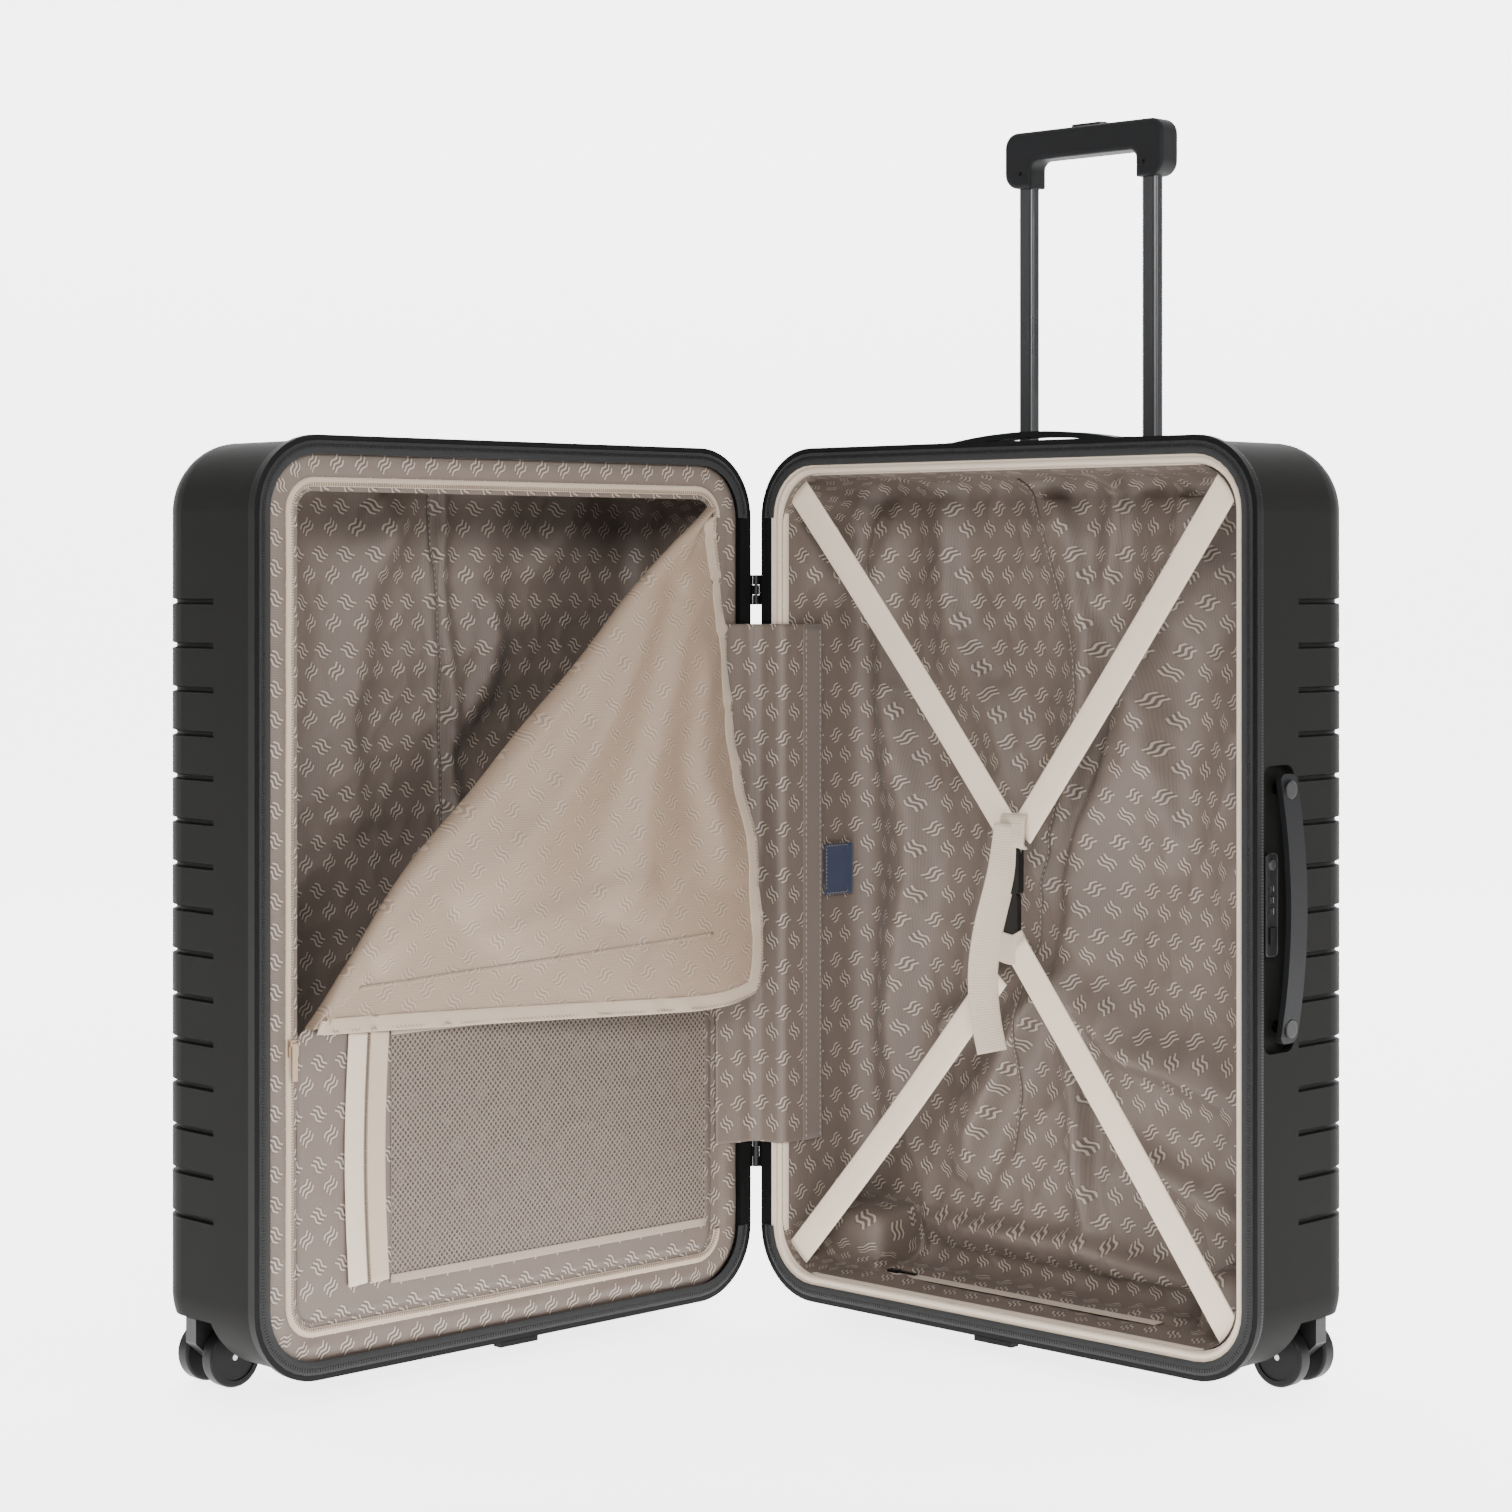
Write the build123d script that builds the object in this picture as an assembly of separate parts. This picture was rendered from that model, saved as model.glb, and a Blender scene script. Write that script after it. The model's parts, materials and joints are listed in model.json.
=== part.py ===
from build123d import *

# Hard shell spinner suitcase, standing open like a book with its pull handle up.
#
# Two shallow shells meet along an upright hinge. Each half is drawn in its own frame: X runs from the hinge
# axis to the outer side, Y from the mouth of the shell to its back and Z up from the floor. place_base turns
# a shape to the base's opening angle; place_lid mirrors it first and turns it the other way.

import os
from math import cos, radians, sin

# ---- driving dimensions, millimetres -------------------------------------------------------------
WIDTH = 530.0  # of a half, over its rim
HEIGHT = 740.0  # of a half, over its rim
DEPTH = 146.0  # of a half, mouth to back
FLOOR_GAP = 20.0  # rim to floor
HINGE_GAP = 5.0  # hinge axis to rim
OPEN_ANGLE = 92.0  # between the two mouths, degrees
RIM_RADIUS = 60.0
BACK_RADIUS = 40.0
WALL = 2.2
RIM_STEP = 4.0  # the shell wall lies this far inside the rim
RIM_WIDTH = 12.0
RIM_FRONT = 1.6  # rim to the plane where the mouths meet
RIM_BACK = 7.0
SHELL_FRONT = 12.0
TAPE_FRONT = 0.9
TEETH_FRONT = 0.4

MID_X = HINGE_GAP + WIDTH / 2
MID_Z = FLOOR_GAP + HEIGHT / 2
TOP_Z = FLOOR_GAP + HEIGHT - RIM_STEP
OUTER_X = HINGE_GAP + WIDTH - RIM_STEP
TURN = (180 - OPEN_ANGLE) / 2

# grooves across the back that wrap on to both sides
GROOVES = 15
GROOVE_PITCH = 34.75
GROOVE_MID_Z = 386.0
GROOVE_DEPTH = 3.4
GROOVE_MOUTH = 2.4  # half width at the surface
GROOVE_FLOOR = 1.2  # half width at the bottom
GROOVE_START = 62.0  # from the mouth

# casters
CASTER_INSET = 29.0  # swivel axis to the outside of the rim
CASTER_DEPTH = 119.0
TRAIL = 20.0
WHEEL_RADIUS = 24.0
WHEEL_WIDTH = 14.0
WHEEL_OFFSET = 17.0  # wheel middle to fork middle
WELL_RADIUS = 54.0
WELL_TOP = 62.0
HOUSING_TOP = 82.0
PIVOT_RADIUS = 4.0
AXLE_RADIUS = 2.5
FORK_THICK = 14.0
RUNNING = 0.05  # radial clearance of a running fit
SLACK = 0.3  # gap between pieces that move past each other

# pull handle
TUBE_DEPTH = 130.0
TUBE_PITCH = 133.0
TUBE_SIZE = (16.0, 12.0)
TUBE_CORNER = 4.0
TUBE_WALL = 1.2
SLIDE_PLAY = 0.2
TUBE_BOTTOM = 600.0  # of the inner tubes, drawn out
TRAVEL = 270.0
GRIP_TOP = 1032.0
GRIP_LENGTH = 170.0
GRIP_HEIGHT = 48.0
GRIP_BAR = 25.0
GRIP_THICK = 24.0
GRIP_GAP = 114.0
BUTTON_SIZE = (34.0, 12.0, 9.0)
CUP_FLOOR = 709.0
CUP_WALL = 3.0
CUP_LENGTH = 190.0
CUP_DEPTHS = (116.0, 144.5)
BEZEL = 1.2  # the cup stands this far out of the shell

# carry handles, alike on the side and the top
HANDLE_LENGTH = 210.0
HANDLE_WIDTH = 22.0
HANDLE_THICK = 5.0
HANDLE_LOW = 1.0  # strap middle over the shell at its ends
HANDLE_HIGH = 11.5
HANDLE_LIFT = 4.0
POST_RADIUS = 5.0
POST_SPAN = 186.0
POST_HEAD = 7.5
RECESS_DEPTH = 8.0
RECESS_LENGTH = 224.0
SIDE_RECESS = (15.0, 56.0)
TOP_RECESS = (44.0, 80.0)
SIDE_HANDLE_DEPTH = 43.0
TOP_HANDLE_DEPTH = 62.0

# combination lock in the side recess
LOCK_SIZE = (9.0, 16.0, 80.0)
LOCK_DEPTH = 25.0
LOCK_Z = 394.0
DIAL_RADIUS = 4.2
DIAL_WIDTH = 4.6
DIAL_PITCH = 9.0
DIAL_SINK = 3.4
DIAL_Z = 398.0
DIAL_PIVOT = 1.2
LATCH_Z = 370.0
KEY_Z = 425.0
KEY_RADIUS = 4.0

# hinges
HINGE_HEIGHTS = (143.0, 390.0, 637.0)
HINGE_LENGTH = 26.0
KNUCKLE_RADIUS = 3.0
KNUCKLE_HALF = 4.2  # half length of the lid's middle knuckle
PIN_RADIUS = 1.4
LEAF = 1.4

# linings, divider, straps and trim
CLOTH = 1.5
BASE_LINING_INSET = 22.0
BASE_LINING = (6.0, 112.0)
LID_LINING_INSET = 14.0
LID_LINING = (9.0, 138.0)
LINING_RADIUS = 26.0
BORDER_INNER = 44.0
TAPE_OUTER = 33.0
DIVIDER = (7.0, 8.5)
DIVIDER_TAPE = (5.8, 7.0)
FLAP = (4.2, 6.2)
FOLD_LOW = (483.0, 295.0)
FOLD_HIGH = (52.0, 708.0)
POCKET_X = (56.0, 400.0)
POCKET_ZIP_X = (401.0, 443.0)
POCKET_Z = (88.0, 288.0)
SLIDER = (496.5, 282.0)
COVER_Z = (155.0, 605.0)
STRAP_WIDTH = 22.0
STRAP_THICK = 1.6
STRAP_DEPTHS = (14.0, 24.0)
STRAP_MEET = (338.0, 440.0)
PIPING_RADIUS = 3.0
PIPING_INSET = 18.9
LABEL = (33.0, 46.0)
LINING_ZIP_X = (105.0, 400.0)
LINING_ZIP_DEPTH = 55.0
TAB_SIZE = (40.0, 9.0, 4.0)

# the origin lies under the middle of the whole suitcase
FRONT_Y = -(HINGE_GAP + WIDTH) * sin(radians(TURN))
BACK_Y = (
    BACK_RADIUS
    + (DEPTH - BACK_RADIUS) * cos(radians(TURN))
    - (HINGE_GAP + RIM_STEP + BACK_RADIUS) * sin(radians(TURN))
)
SHIFT_Y = -(FRONT_Y + BACK_Y) / 2

UP = (Align.CENTER, Align.CENTER, Align.MIN)


# ---- frames and basic shapes ---------------------------------------------------------------------
def place_base(shape):
    return Pos(0, SHIFT_Y, 0) * Rot(0, 0, -TURN) * shape


def place_lid(shape):
    return Pos(0, SHIFT_Y, 0) * Rot(0, 0, TURN) * mirror(shape, about=Plane.YZ)


def block(x, y, z):
    """Box between (low, high) pairs."""
    size = [high - low for low, high in (x, y, z)]
    middle = [(high + low) / 2 for low, high in (x, y, z)]
    return Pos(*middle) * Box(*size)


def span(middle, size):
    return (middle - size / 2, middle + size / 2)


def plate(inset, y0, y1):
    """Slab with the rim's outline drawn in by inset."""
    outline = RectangleRounded(WIDTH - 2 * inset, HEIGHT - 2 * inset, RIM_RADIUS - inset)
    return extrude(Plane.XZ.offset(-y0) * Pos(MID_X, MID_Z) * outline, amount=-(y1 - y0))


def ring(outer, inner, y0, y1):
    return plate(outer, y0, y1) - plate(inner, y0 - 1, y1 + 1)


def tray(inset, y0, y1, radius):
    """Slab with its back edges rounded."""
    slab = plate(inset, y0, y1)
    return fillet(slab.faces().sort_by(Axis.Y)[-1].edges(), radius)


def rod(radius, start, end):
    """Round bar between two points."""
    axis = Vector(*end) - Vector(*start)
    return extrude(Plane(origin=start, z_dir=axis) * Circle(radius), amount=axis.length)


def band(start, end, width, thick):
    """Flat strap between two (x, y, z) points with its face turned to the mouth."""
    run = Vector(*end) - Vector(*start)
    plane = Plane(origin=start, x_dir=(-run.Z, 0, run.X), z_dir=run)
    return extrude(plane * Rectangle(width, thick), amount=run.length)


def rounded_bar(size, corner, x, y, z):
    """Upright rounded bar, z being its (low, high)."""
    outline = Pos(x, y, z[0]) * RectangleRounded(*size, corner)
    return extrude(outline, amount=z[1] - z[0])


# ---- shells --------------------------------------------------------------------------------------
def groove_tool(mouth, floor, depth, start):
    """One groove as a bar that follows the side, back and side of a shell, at height 0."""
    left, right = HINGE_GAP + RIM_STEP, OUTER_X
    path = FilletPolyline(
        (left, start, 0), (left, DEPTH, 0), (right, DEPTH, 0), (right, start, 0), radius=BACK_RADIUS
    )
    outside = 3.0
    spread = mouth + (mouth - floor) * outside / depth
    section = Polyline(
        (-outside, spread), (-outside, -spread), (depth, -floor), (depth, floor), close=True
    )
    plane = Plane(origin=(left, start, 0), x_dir=(1, 0, 0), z_dir=(0, 1, 0))
    return sweep(plane * make_face(section), path=path)


def groove_heights():
    first = GROOVE_MID_Z - GROOVE_PITCH * (GROOVES - 1) / 2
    return [first + GROOVE_PITCH * i for i in range(GROOVES)]


def caster_centres():
    return (HINGE_GAP + CASTER_INSET, HINGE_GAP + WIDTH - CASTER_INSET)


def well(x, radius, top):
    return Pos(x, CASTER_DEPTH, 0) * Cylinder(radius, top, align=UP)


def corner_zone(x, grow=0.0):
    """Space of a wheel housing over its well."""
    reach = WELL_RADIUS + WALL + grow
    zone = block(
        (x - reach, x + reach), (CASTER_DEPTH - reach, DEPTH + 9), (WELL_TOP, HOUSING_TOP + grow)
    )
    top_edges = zone.faces().sort_by(Axis.Z)[-1].edges()
    front = top_edges.sort_by(Axis.Y)[0]
    inner = top_edges.sort_by(Axis.X)[-1 if x < MID_X else 0]
    return fillet([front, inner], 12)


def recess(depths, side, grow=0.0):
    """Sunken bed of a carry handle, in the outer side wall or in the top."""
    bottom = RECESS_DEPTH + grow
    half = RECESS_LENGTH / 2 + grow
    depth = (depths[0] - grow, depths[1] + grow)
    if side:
        bed = block((OUTER_X - bottom, OUTER_X + 6), depth, (MID_Z - half, MID_Z + half))
        return fillet(bed.edges().filter_by(Axis.X), 10 + grow)
    bed = block((MID_X - half, MID_X + half), depth, (TOP_Z - bottom, TOP_Z + 6))
    return fillet(bed.edges().filter_by(Axis.Z), 10 + grow)


def plain_shell():
    """Grooved skin with its corners cut away for the wheel housings."""
    outer = tray(RIM_STEP, SHELL_FRONT, DEPTH, BACK_RADIUS)
    cavity = tray(RIM_STEP + WALL, SHELL_FRONT - 1, DEPTH - WALL, BACK_RADIUS - WALL)
    cut = groove_tool(GROOVE_MOUTH, GROOVE_FLOOR, GROOVE_DEPTH, GROOVE_START)
    rib = groove_tool(
        GROOVE_MOUTH + WALL, GROOVE_FLOOR + WALL, GROOVE_DEPTH + WALL, GROOVE_START - WALL
    )
    heights = groove_heights()
    cavity -= [Pos(0, 0, z) * rib for z in heights]
    shell = outer - cavity
    shell -= [Pos(0, 0, z) * cut for z in heights]
    for x in caster_centres():
        shell -= [corner_zone(x), well(x, WELL_RADIUS + WALL, WELL_TOP)]
    return shell


def base_shell(skin):
    """The skin with both handle beds and the opening of the pull handle's cup."""
    outer = tray(RIM_STEP, SHELL_FRONT, DEPTH, BACK_RADIUS)
    shell = skin
    for depths, side in ((SIDE_RECESS, True), (TOP_RECESS, False)):
        shell += recess(depths, side, WALL) & outer
        shell -= recess(depths, side)
    shell -= cup_zone()
    for plane in (side_handle_plane(), top_handle_plane()):
        shell -= [plane * hole for hole in post_bars(POST_RADIUS + RUNNING)]
    return shell


def wheel_housings():
    """Moulded corner inserts that carry on the shell, each with its wheel well and caster seat."""
    outer = tray(RIM_STEP, SHELL_FRONT, DEPTH, BACK_RADIUS)
    inside = tray(RIM_STEP + WALL, SHELL_FRONT, DEPTH - WALL, BACK_RADIUS - WALL)
    housings = []
    for x in caster_centres():
        zone = corner_zone(x)
        roof = block((-60, WIDTH + 60), (0, DEPTH + 20), (WELL_TOP, WELL_TOP + 3))
        skin = (outer & zone) - inside
        cup = (outer & well(x, WELL_RADIUS + WALL, WELL_TOP)) - well(x, WELL_RADIUS, WELL_TOP)
        seat = Pos(x, CASTER_DEPTH, WELL_TOP) * Cylinder(11, HOUSING_TOP - WELL_TOP - 4, align=UP)
        housing = skin + (outer & zone & roof) + cup + (seat & outer)
        housing -= well(x, PIVOT_RADIUS + RUNNING, HOUSING_TOP - 6)
        housings.append(housing)
    return housings


# ---- rim, zips and trim --------------------------------------------------------------------------
def hinge_side(depth=(0, 20)):
    """The run of a rim beside the hinge, where no zip runs."""
    return block((0, HINGE_GAP + RIM_RADIUS), depth, (FLOOR_GAP + 65, FLOOR_GAP + HEIGHT - 65))


def rim():
    return ring(0, RIM_WIDTH, RIM_FRONT, RIM_BACK)


def band_behind_rim():
    return ring(1.5, RIM_WIDTH, RIM_BACK, SHELL_FRONT)


def mouth_zip():
    """Tape with one row of teeth on three sides of the mouth."""
    tape = ring(4, 15, TAPE_FRONT, RIM_FRONT)
    teeth = ring(6.5, 9.5, TEETH_FRONT, TAPE_FRONT)
    return (tape + teeth) - hinge_side()


def piping():
    outline = RectangleRounded(
        WIDTH - 2 * PIPING_INSET, HEIGHT - 2 * PIPING_INSET, RIM_RADIUS - PIPING_INSET
    )
    path = (Plane.XZ.offset(-5.5) * Pos(MID_X, MID_Z) * outline).wire()
    start = Plane(origin=path @ 0, z_dir=path % 0)
    return sweep(start * Circle(PIPING_RADIUS), path=path)


def lining(inset, y, radius):
    """Cloth tray that follows the shell and steps in over the wheel housings."""
    room = tray(inset, y[0], y[1], radius)
    hollow = tray(inset + CLOTH, y[0] - 1, y[1] - CLOTH, radius - CLOTH)
    for x in caster_centres():
        reach = WELL_RADIUS + WALL + 1.5
        for grow in (0.0, CLOTH):
            size = reach + grow
            low = block(
                (x - size, x + size), (CASTER_DEPTH - size, DEPTH), (0, HOUSING_TOP + 1.5 + grow)
            )
            if grow:
                hollow -= low
            else:
                room -= low
    return room - hollow


def bottom_tab():
    return block(
        span(MID_X, TAB_SIZE[0]), (1.2, 1.2 + TAB_SIZE[1]), (FLOOR_GAP - TAB_SIZE[2], FLOOR_GAP)
    )


# ---- hinge ---------------------------------------------------------------------------------------
def knuckles(z, lid):
    """Knuckle heights of one hinge: the lid has the middle one, the base the two outside it."""
    half = HINGE_LENGTH / 2
    if lid:
        return [(z - KNUCKLE_HALF, z + KNUCKLE_HALF)]
    gap = KNUCKLE_HALF + SLACK
    return [(z - half, z - gap), (z + gap, z + half)]


def hinge_leaves(lid):
    leaves = []
    for z in HINGE_HEIGHTS:
        half = HINGE_LENGTH / 2
        leaf = block((HINGE_GAP - LEAF, HINGE_GAP), (0.6, 11.0), (z - half, z + half))
        for low, high in knuckles(z, lid):
            leaf += rod(KNUCKLE_RADIUS, (0, 0, low), (0, 0, high))
            leaf += block((1.0, HINGE_GAP), (0.6, 2.4), (low, high))
        bore = PIN_RADIUS + (RUNNING if lid else 0)
        leaf -= rod(bore, (0, 0, z - half), (0, 0, z + half))
        leaves.append(leaf)
    return leaves


def hinge_pins():
    half = HINGE_LENGTH / 2
    return [rod(PIN_RADIUS, (0, 0, z - half), (0, 0, z + half)) for z in HINGE_HEIGHTS]


def hinge_cover_base():
    """Cloth that laps the rim by the hinge and turns down the side wall of the lining."""
    wall_x = HINGE_GAP + BASE_LINING_INSET + CLOTH
    lap = block((HINGE_GAP + 0.6, wall_x + 1.2), (0.6, RIM_FRONT - 0.1), COVER_Z)
    return lap + block((wall_x, wall_x + 1.2), (RIM_FRONT - 0.1, 50), COVER_Z)


def hinge_cover_lid():
    return block((HINGE_GAP + 0.6, HINGE_GAP + RIM_WIDTH + 6), (0.6, RIM_FRONT - 0.1), COVER_Z)


# ---- pull handle ---------------------------------------------------------------------------------
def tube_positions():
    return (MID_X - TUBE_PITCH / 2, MID_X + TUBE_PITCH / 2)


def cup_zone():
    return block(
        span(MID_X, CUP_LENGTH + 2 * CUP_WALL),
        (CUP_DEPTHS[0] - CUP_WALL, DEPTH + 9),
        (CUP_FLOOR - CUP_WALL, TOP_Z + 9),
    )


def handle_cup():
    """Pocket the grip sinks into, in the rounded edge between the top and the back."""
    outer = tray(RIM_STEP - BEZEL, SHELL_FRONT, DEPTH + BEZEL, BACK_RADIUS + BEZEL)
    cup = outer & cup_zone()
    cup -= block(span(MID_X, CUP_LENGTH), CUP_DEPTHS, (CUP_FLOOR, TOP_Z + 20))
    hole = [side + 2 * SLIDE_PLAY for side in TUBE_SIZE]
    for x in tube_positions():
        cup -= rounded_bar(hole, TUBE_CORNER, x, TUBE_DEPTH, (CUP_FLOOR - 20, CUP_FLOOR + 5))
    return cup


def outer_tubes():
    tubes = []
    inner = [side + 2 * SLIDE_PLAY for side in TUBE_SIZE]
    outer = [side + 2 * TUBE_WALL for side in inner]
    low = TUBE_BOTTOM - TRAVEL - 12
    for x in tube_positions():
        tube = rounded_bar(outer, TUBE_CORNER + TUBE_WALL, x, TUBE_DEPTH, (low, CUP_FLOOR - CUP_WALL))
        tube -= rounded_bar(inner, TUBE_CORNER, x, TUBE_DEPTH, (low + 4, CUP_FLOOR))
        tubes.append(tube)
    return tubes


def inner_tubes():
    top = GRIP_TOP - GRIP_BAR + 4
    bore = [side - 2 * TUBE_WALL for side in TUBE_SIZE]
    tubes = []
    for x in tube_positions():
        tube = rounded_bar(TUBE_SIZE, TUBE_CORNER, x, TUBE_DEPTH, (TUBE_BOTTOM, top))
        tube -= rounded_bar(bore, TUBE_CORNER - TUBE_WALL, x, TUBE_DEPTH, (TUBE_BOTTOM - 1, top - 3))
        tubes.append(tube)
    return tubes


def grip():
    """Bar with a leg at each end that takes a tube, and a bed for the push button."""
    y0 = TUBE_DEPTH - GRIP_THICK / 2
    middle_z = GRIP_TOP - GRIP_HEIGHT / 2
    outline = Pos(MID_X, middle_z) * RectangleRounded(GRIP_LENGTH, GRIP_HEIGHT, 13)
    gap = Pos(MID_X, GRIP_TOP - GRIP_BAR - 30) * RectangleRounded(GRIP_GAP, 60, 8)
    body = extrude(Plane.XZ.offset(-y0) * (outline - gap), amount=-GRIP_THICK)
    rims = body.faces().filter_by(Axis.Y).edges()
    body = fillet(rims, 3.5)
    for x in tube_positions():
        top = GRIP_TOP - GRIP_BAR + 4
        body -= rounded_bar(TUBE_SIZE, TUBE_CORNER, x, TUBE_DEPTH, (middle_z - 30, top))
        body -= rod(1.8, (x, y0 - 1, middle_z - 12), (x, y0 + 1.5, middle_z - 12))
    length, width, height = BUTTON_SIZE
    bed = (length + 2 * SLACK, width + 2 * SLACK)
    return body - rounded_bar(
        bed, 4 + SLACK, MID_X, TUBE_DEPTH, (GRIP_TOP - height - 4, GRIP_TOP + 1)
    )


def grip_button():
    length, width, height = BUTTON_SIZE
    return rounded_bar(
        (length, width), 4, MID_X, TUBE_DEPTH, (GRIP_TOP - height, GRIP_TOP + 2.5)
    )


# ---- carry handles -------------------------------------------------------------------------------
def side_handle_plane():
    return Plane(origin=(OUTER_X, SIDE_HANDLE_DEPTH, MID_Z), x_dir=(0, 0, 1), z_dir=(1, 0, 0))


def top_handle_plane():
    return Plane(origin=(MID_X, TOP_HANDLE_DEPTH, TOP_Z), x_dir=(1, 0, 0), z_dir=(0, 0, 1))


def post_top():
    """Height of the strap's back over the shell where a post goes through it."""
    rise = HANDLE_HIGH - HANDLE_LOW
    return HANDLE_LOW + rise * (1 - (POST_SPAN / HANDLE_LENGTH) ** 2) + HANDLE_THICK / 2


def post_bars(radius):
    low = -(RECESS_DEPTH + WALL + HANDLE_LIFT + 0.3)
    return [rod(radius, (x, 0, low), (x, 0, post_top())) for x in (-POST_SPAN / 2, POST_SPAN / 2)]


def handle_posts():
    """Headed rivets that hold a strap and slide in the floor of its bed."""
    low = -(RECESS_DEPTH + WALL + HANDLE_LIFT + 0.3)
    posts = []
    for x, bar in zip((-POST_SPAN / 2, POST_SPAN / 2), post_bars(POST_RADIUS)):
        foot = rod(POST_HEAD, (x, 0, low - 1.2), (x, 0, low))
        head = rod(POST_HEAD, (x, 0, post_top()), (x, 0, post_top() + 1.4))
        posts.append(bar + foot + fillet(head.edges().sort_by(Axis.Z)[-1], 1))
    return posts


def handle_strap():
    half, thick = HANDLE_LENGTH / 2, HANDLE_THICK / 2
    high, low = HANDLE_HIGH, HANDLE_LOW
    back = ThreePointArc((-half, low + thick), (0, high + thick), (half, low + thick))
    front = ThreePointArc((half, low - thick), (0, high - thick), (-half, low - thick))
    ends = [Line(back @ 1, front @ 0), Line(front @ 1, back @ 0)]
    profile = make_face([back, front] + ends)
    strap = extrude(Plane.XZ.offset(-HANDLE_WIDTH / 2) * profile, amount=-HANDLE_WIDTH)
    strap = Pos(0, -HANDLE_WIDTH, 0) * strap
    outline = extrude(RectangleRounded(HANDLE_LENGTH, HANDLE_WIDTH, 7), amount=30, both=True)
    strap = strap & outline
    for x, bar in zip((-POST_SPAN / 2, POST_SPAN / 2), post_bars(POST_RADIUS)):
        strap -= [bar, rod(POST_HEAD, (x, 0, post_top()), (x, 0, post_top() + 9))]
    return strap


# ---- lock ----------------------------------------------------------------------------------------
def lock_face():
    return OUTER_X - RECESS_DEPTH + LOCK_SIZE[0]


def dial_heights():
    return [DIAL_Z + DIAL_PITCH * i for i in (-1, 0, 1)]


def dial(z, grow=0.0):
    """Number wheel with a short pivot at each end; grow gives the space it turns in."""
    x = lock_face() - DIAL_SINK
    half = DIAL_WIDTH / 2 + grow
    pivot = half + 1.6
    wheel = rod(DIAL_RADIUS + grow, (x, LOCK_DEPTH, z - half), (x, LOCK_DEPTH, z + half))
    radius = DIAL_PIVOT + (RUNNING if grow else 0)
    return wheel + rod(radius, (x, LOCK_DEPTH, z - pivot), (x, LOCK_DEPTH, z + pivot))


def latch(grow=0.0):
    x = lock_face()
    size = [(x - 5 - 9 * grow, x + 1.6), span(LOCK_DEPTH, 8 + 2 * grow), span(LATCH_Z, 13 + 2 * grow)]
    return block(*size)


def key_core(grow=0.0):
    x = lock_face()
    core = rod(KEY_RADIUS + grow, (x - 6, LOCK_DEPTH, KEY_Z), (x + 0.8, LOCK_DEPTH, KEY_Z))
    if grow:
        return core
    return core - block((x - 1, x + 2), span(LOCK_DEPTH, 0.9), span(KEY_Z, 4.4))


def lock_housing():
    deep, wide, tall = LOCK_SIZE
    x = lock_face()
    housing = block((x - deep, x), span(LOCK_DEPTH, wide), span(LOCK_Z, tall))
    housing = fillet(housing.edges().filter_by(Axis.X), 4)
    housing = fillet(housing.faces().sort_by(Axis.X)[-1].edges(), 0.8)
    housing -= [dial(z, SLACK) for z in dial_heights()]
    return housing - latch(SLACK) - key_core(RUNNING)


# ---- casters -------------------------------------------------------------------------------------
def trail_direction(x):
    """Each caster trails towards the middle of its half."""
    return 1 if x < MID_X else -1


def fork(x):
    """Stem with a foot between the wheels and a pivot pin in the housing's seat."""
    way = trail_direction(x)
    top = WELL_TOP - SLACK
    arm = Polyline(
        (-7 * way, top - 4),
        (8 * way, top - 4),
        ((TRAIL + 7) * way, WHEEL_RADIUS + 6),
        ((TRAIL + 6) * way, WHEEL_RADIUS - 6),
        ((TRAIL - 7) * way, WHEEL_RADIUS - 6),
        (-7 * way, WHEEL_RADIUS + 12),
        close=True,
    )
    body = extrude(Plane.XZ.offset(-FORK_THICK / 2) * make_face(arm), amount=FORK_THICK)
    body = fillet(body.edges().filter_by(Axis.Y), 2.5)
    body += Pos(0, 0, top - 4) * Cylinder(10, 4, align=UP)
    body += Pos(0, 0, top) * Cylinder(PIVOT_RADIUS, HOUSING_TOP - 7 - top, align=UP)
    hub = (TRAIL * way, 0, WHEEL_RADIUS)
    body -= rod(AXLE_RADIUS + RUNNING, (hub[0], -20, hub[2]), (hub[0], 20, hub[2]))
    return Pos(x, CASTER_DEPTH, 0) * body


def axle(x):
    hub_x = x + TRAIL * trail_direction(x)
    reach = WHEEL_OFFSET + WHEEL_WIDTH / 2 - 1.5
    ends = [(hub_x, CASTER_DEPTH + side * reach, WHEEL_RADIUS) for side in (-1, 1)]
    return rod(AXLE_RADIUS, *ends)


def wheels(x):
    hub_x = x + TRAIL * trail_direction(x)
    pair = []
    for side in (-1, 1):
        near = CASTER_DEPTH + side * (WHEEL_OFFSET - WHEEL_WIDTH / 2)
        far = CASTER_DEPTH + side * (WHEEL_OFFSET + WHEEL_WIDTH / 2)
        wheel = rod(WHEEL_RADIUS, (hub_x, near, WHEEL_RADIUS), (hub_x, far, WHEEL_RADIUS))
        wheel = fillet(wheel.edges().filter_by(GeomType.CIRCLE), 2.4)
        dish = rod(18.5, (hub_x, far - side * 1.2, WHEEL_RADIUS), (hub_x, far + side, WHEEL_RADIUS))
        wheel -= dish
        wheel -= rod(AXLE_RADIUS, (hub_x, near - side, WHEEL_RADIUS), (hub_x, far, WHEEL_RADIUS))
        pair.append(wheel)
    return pair


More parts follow.
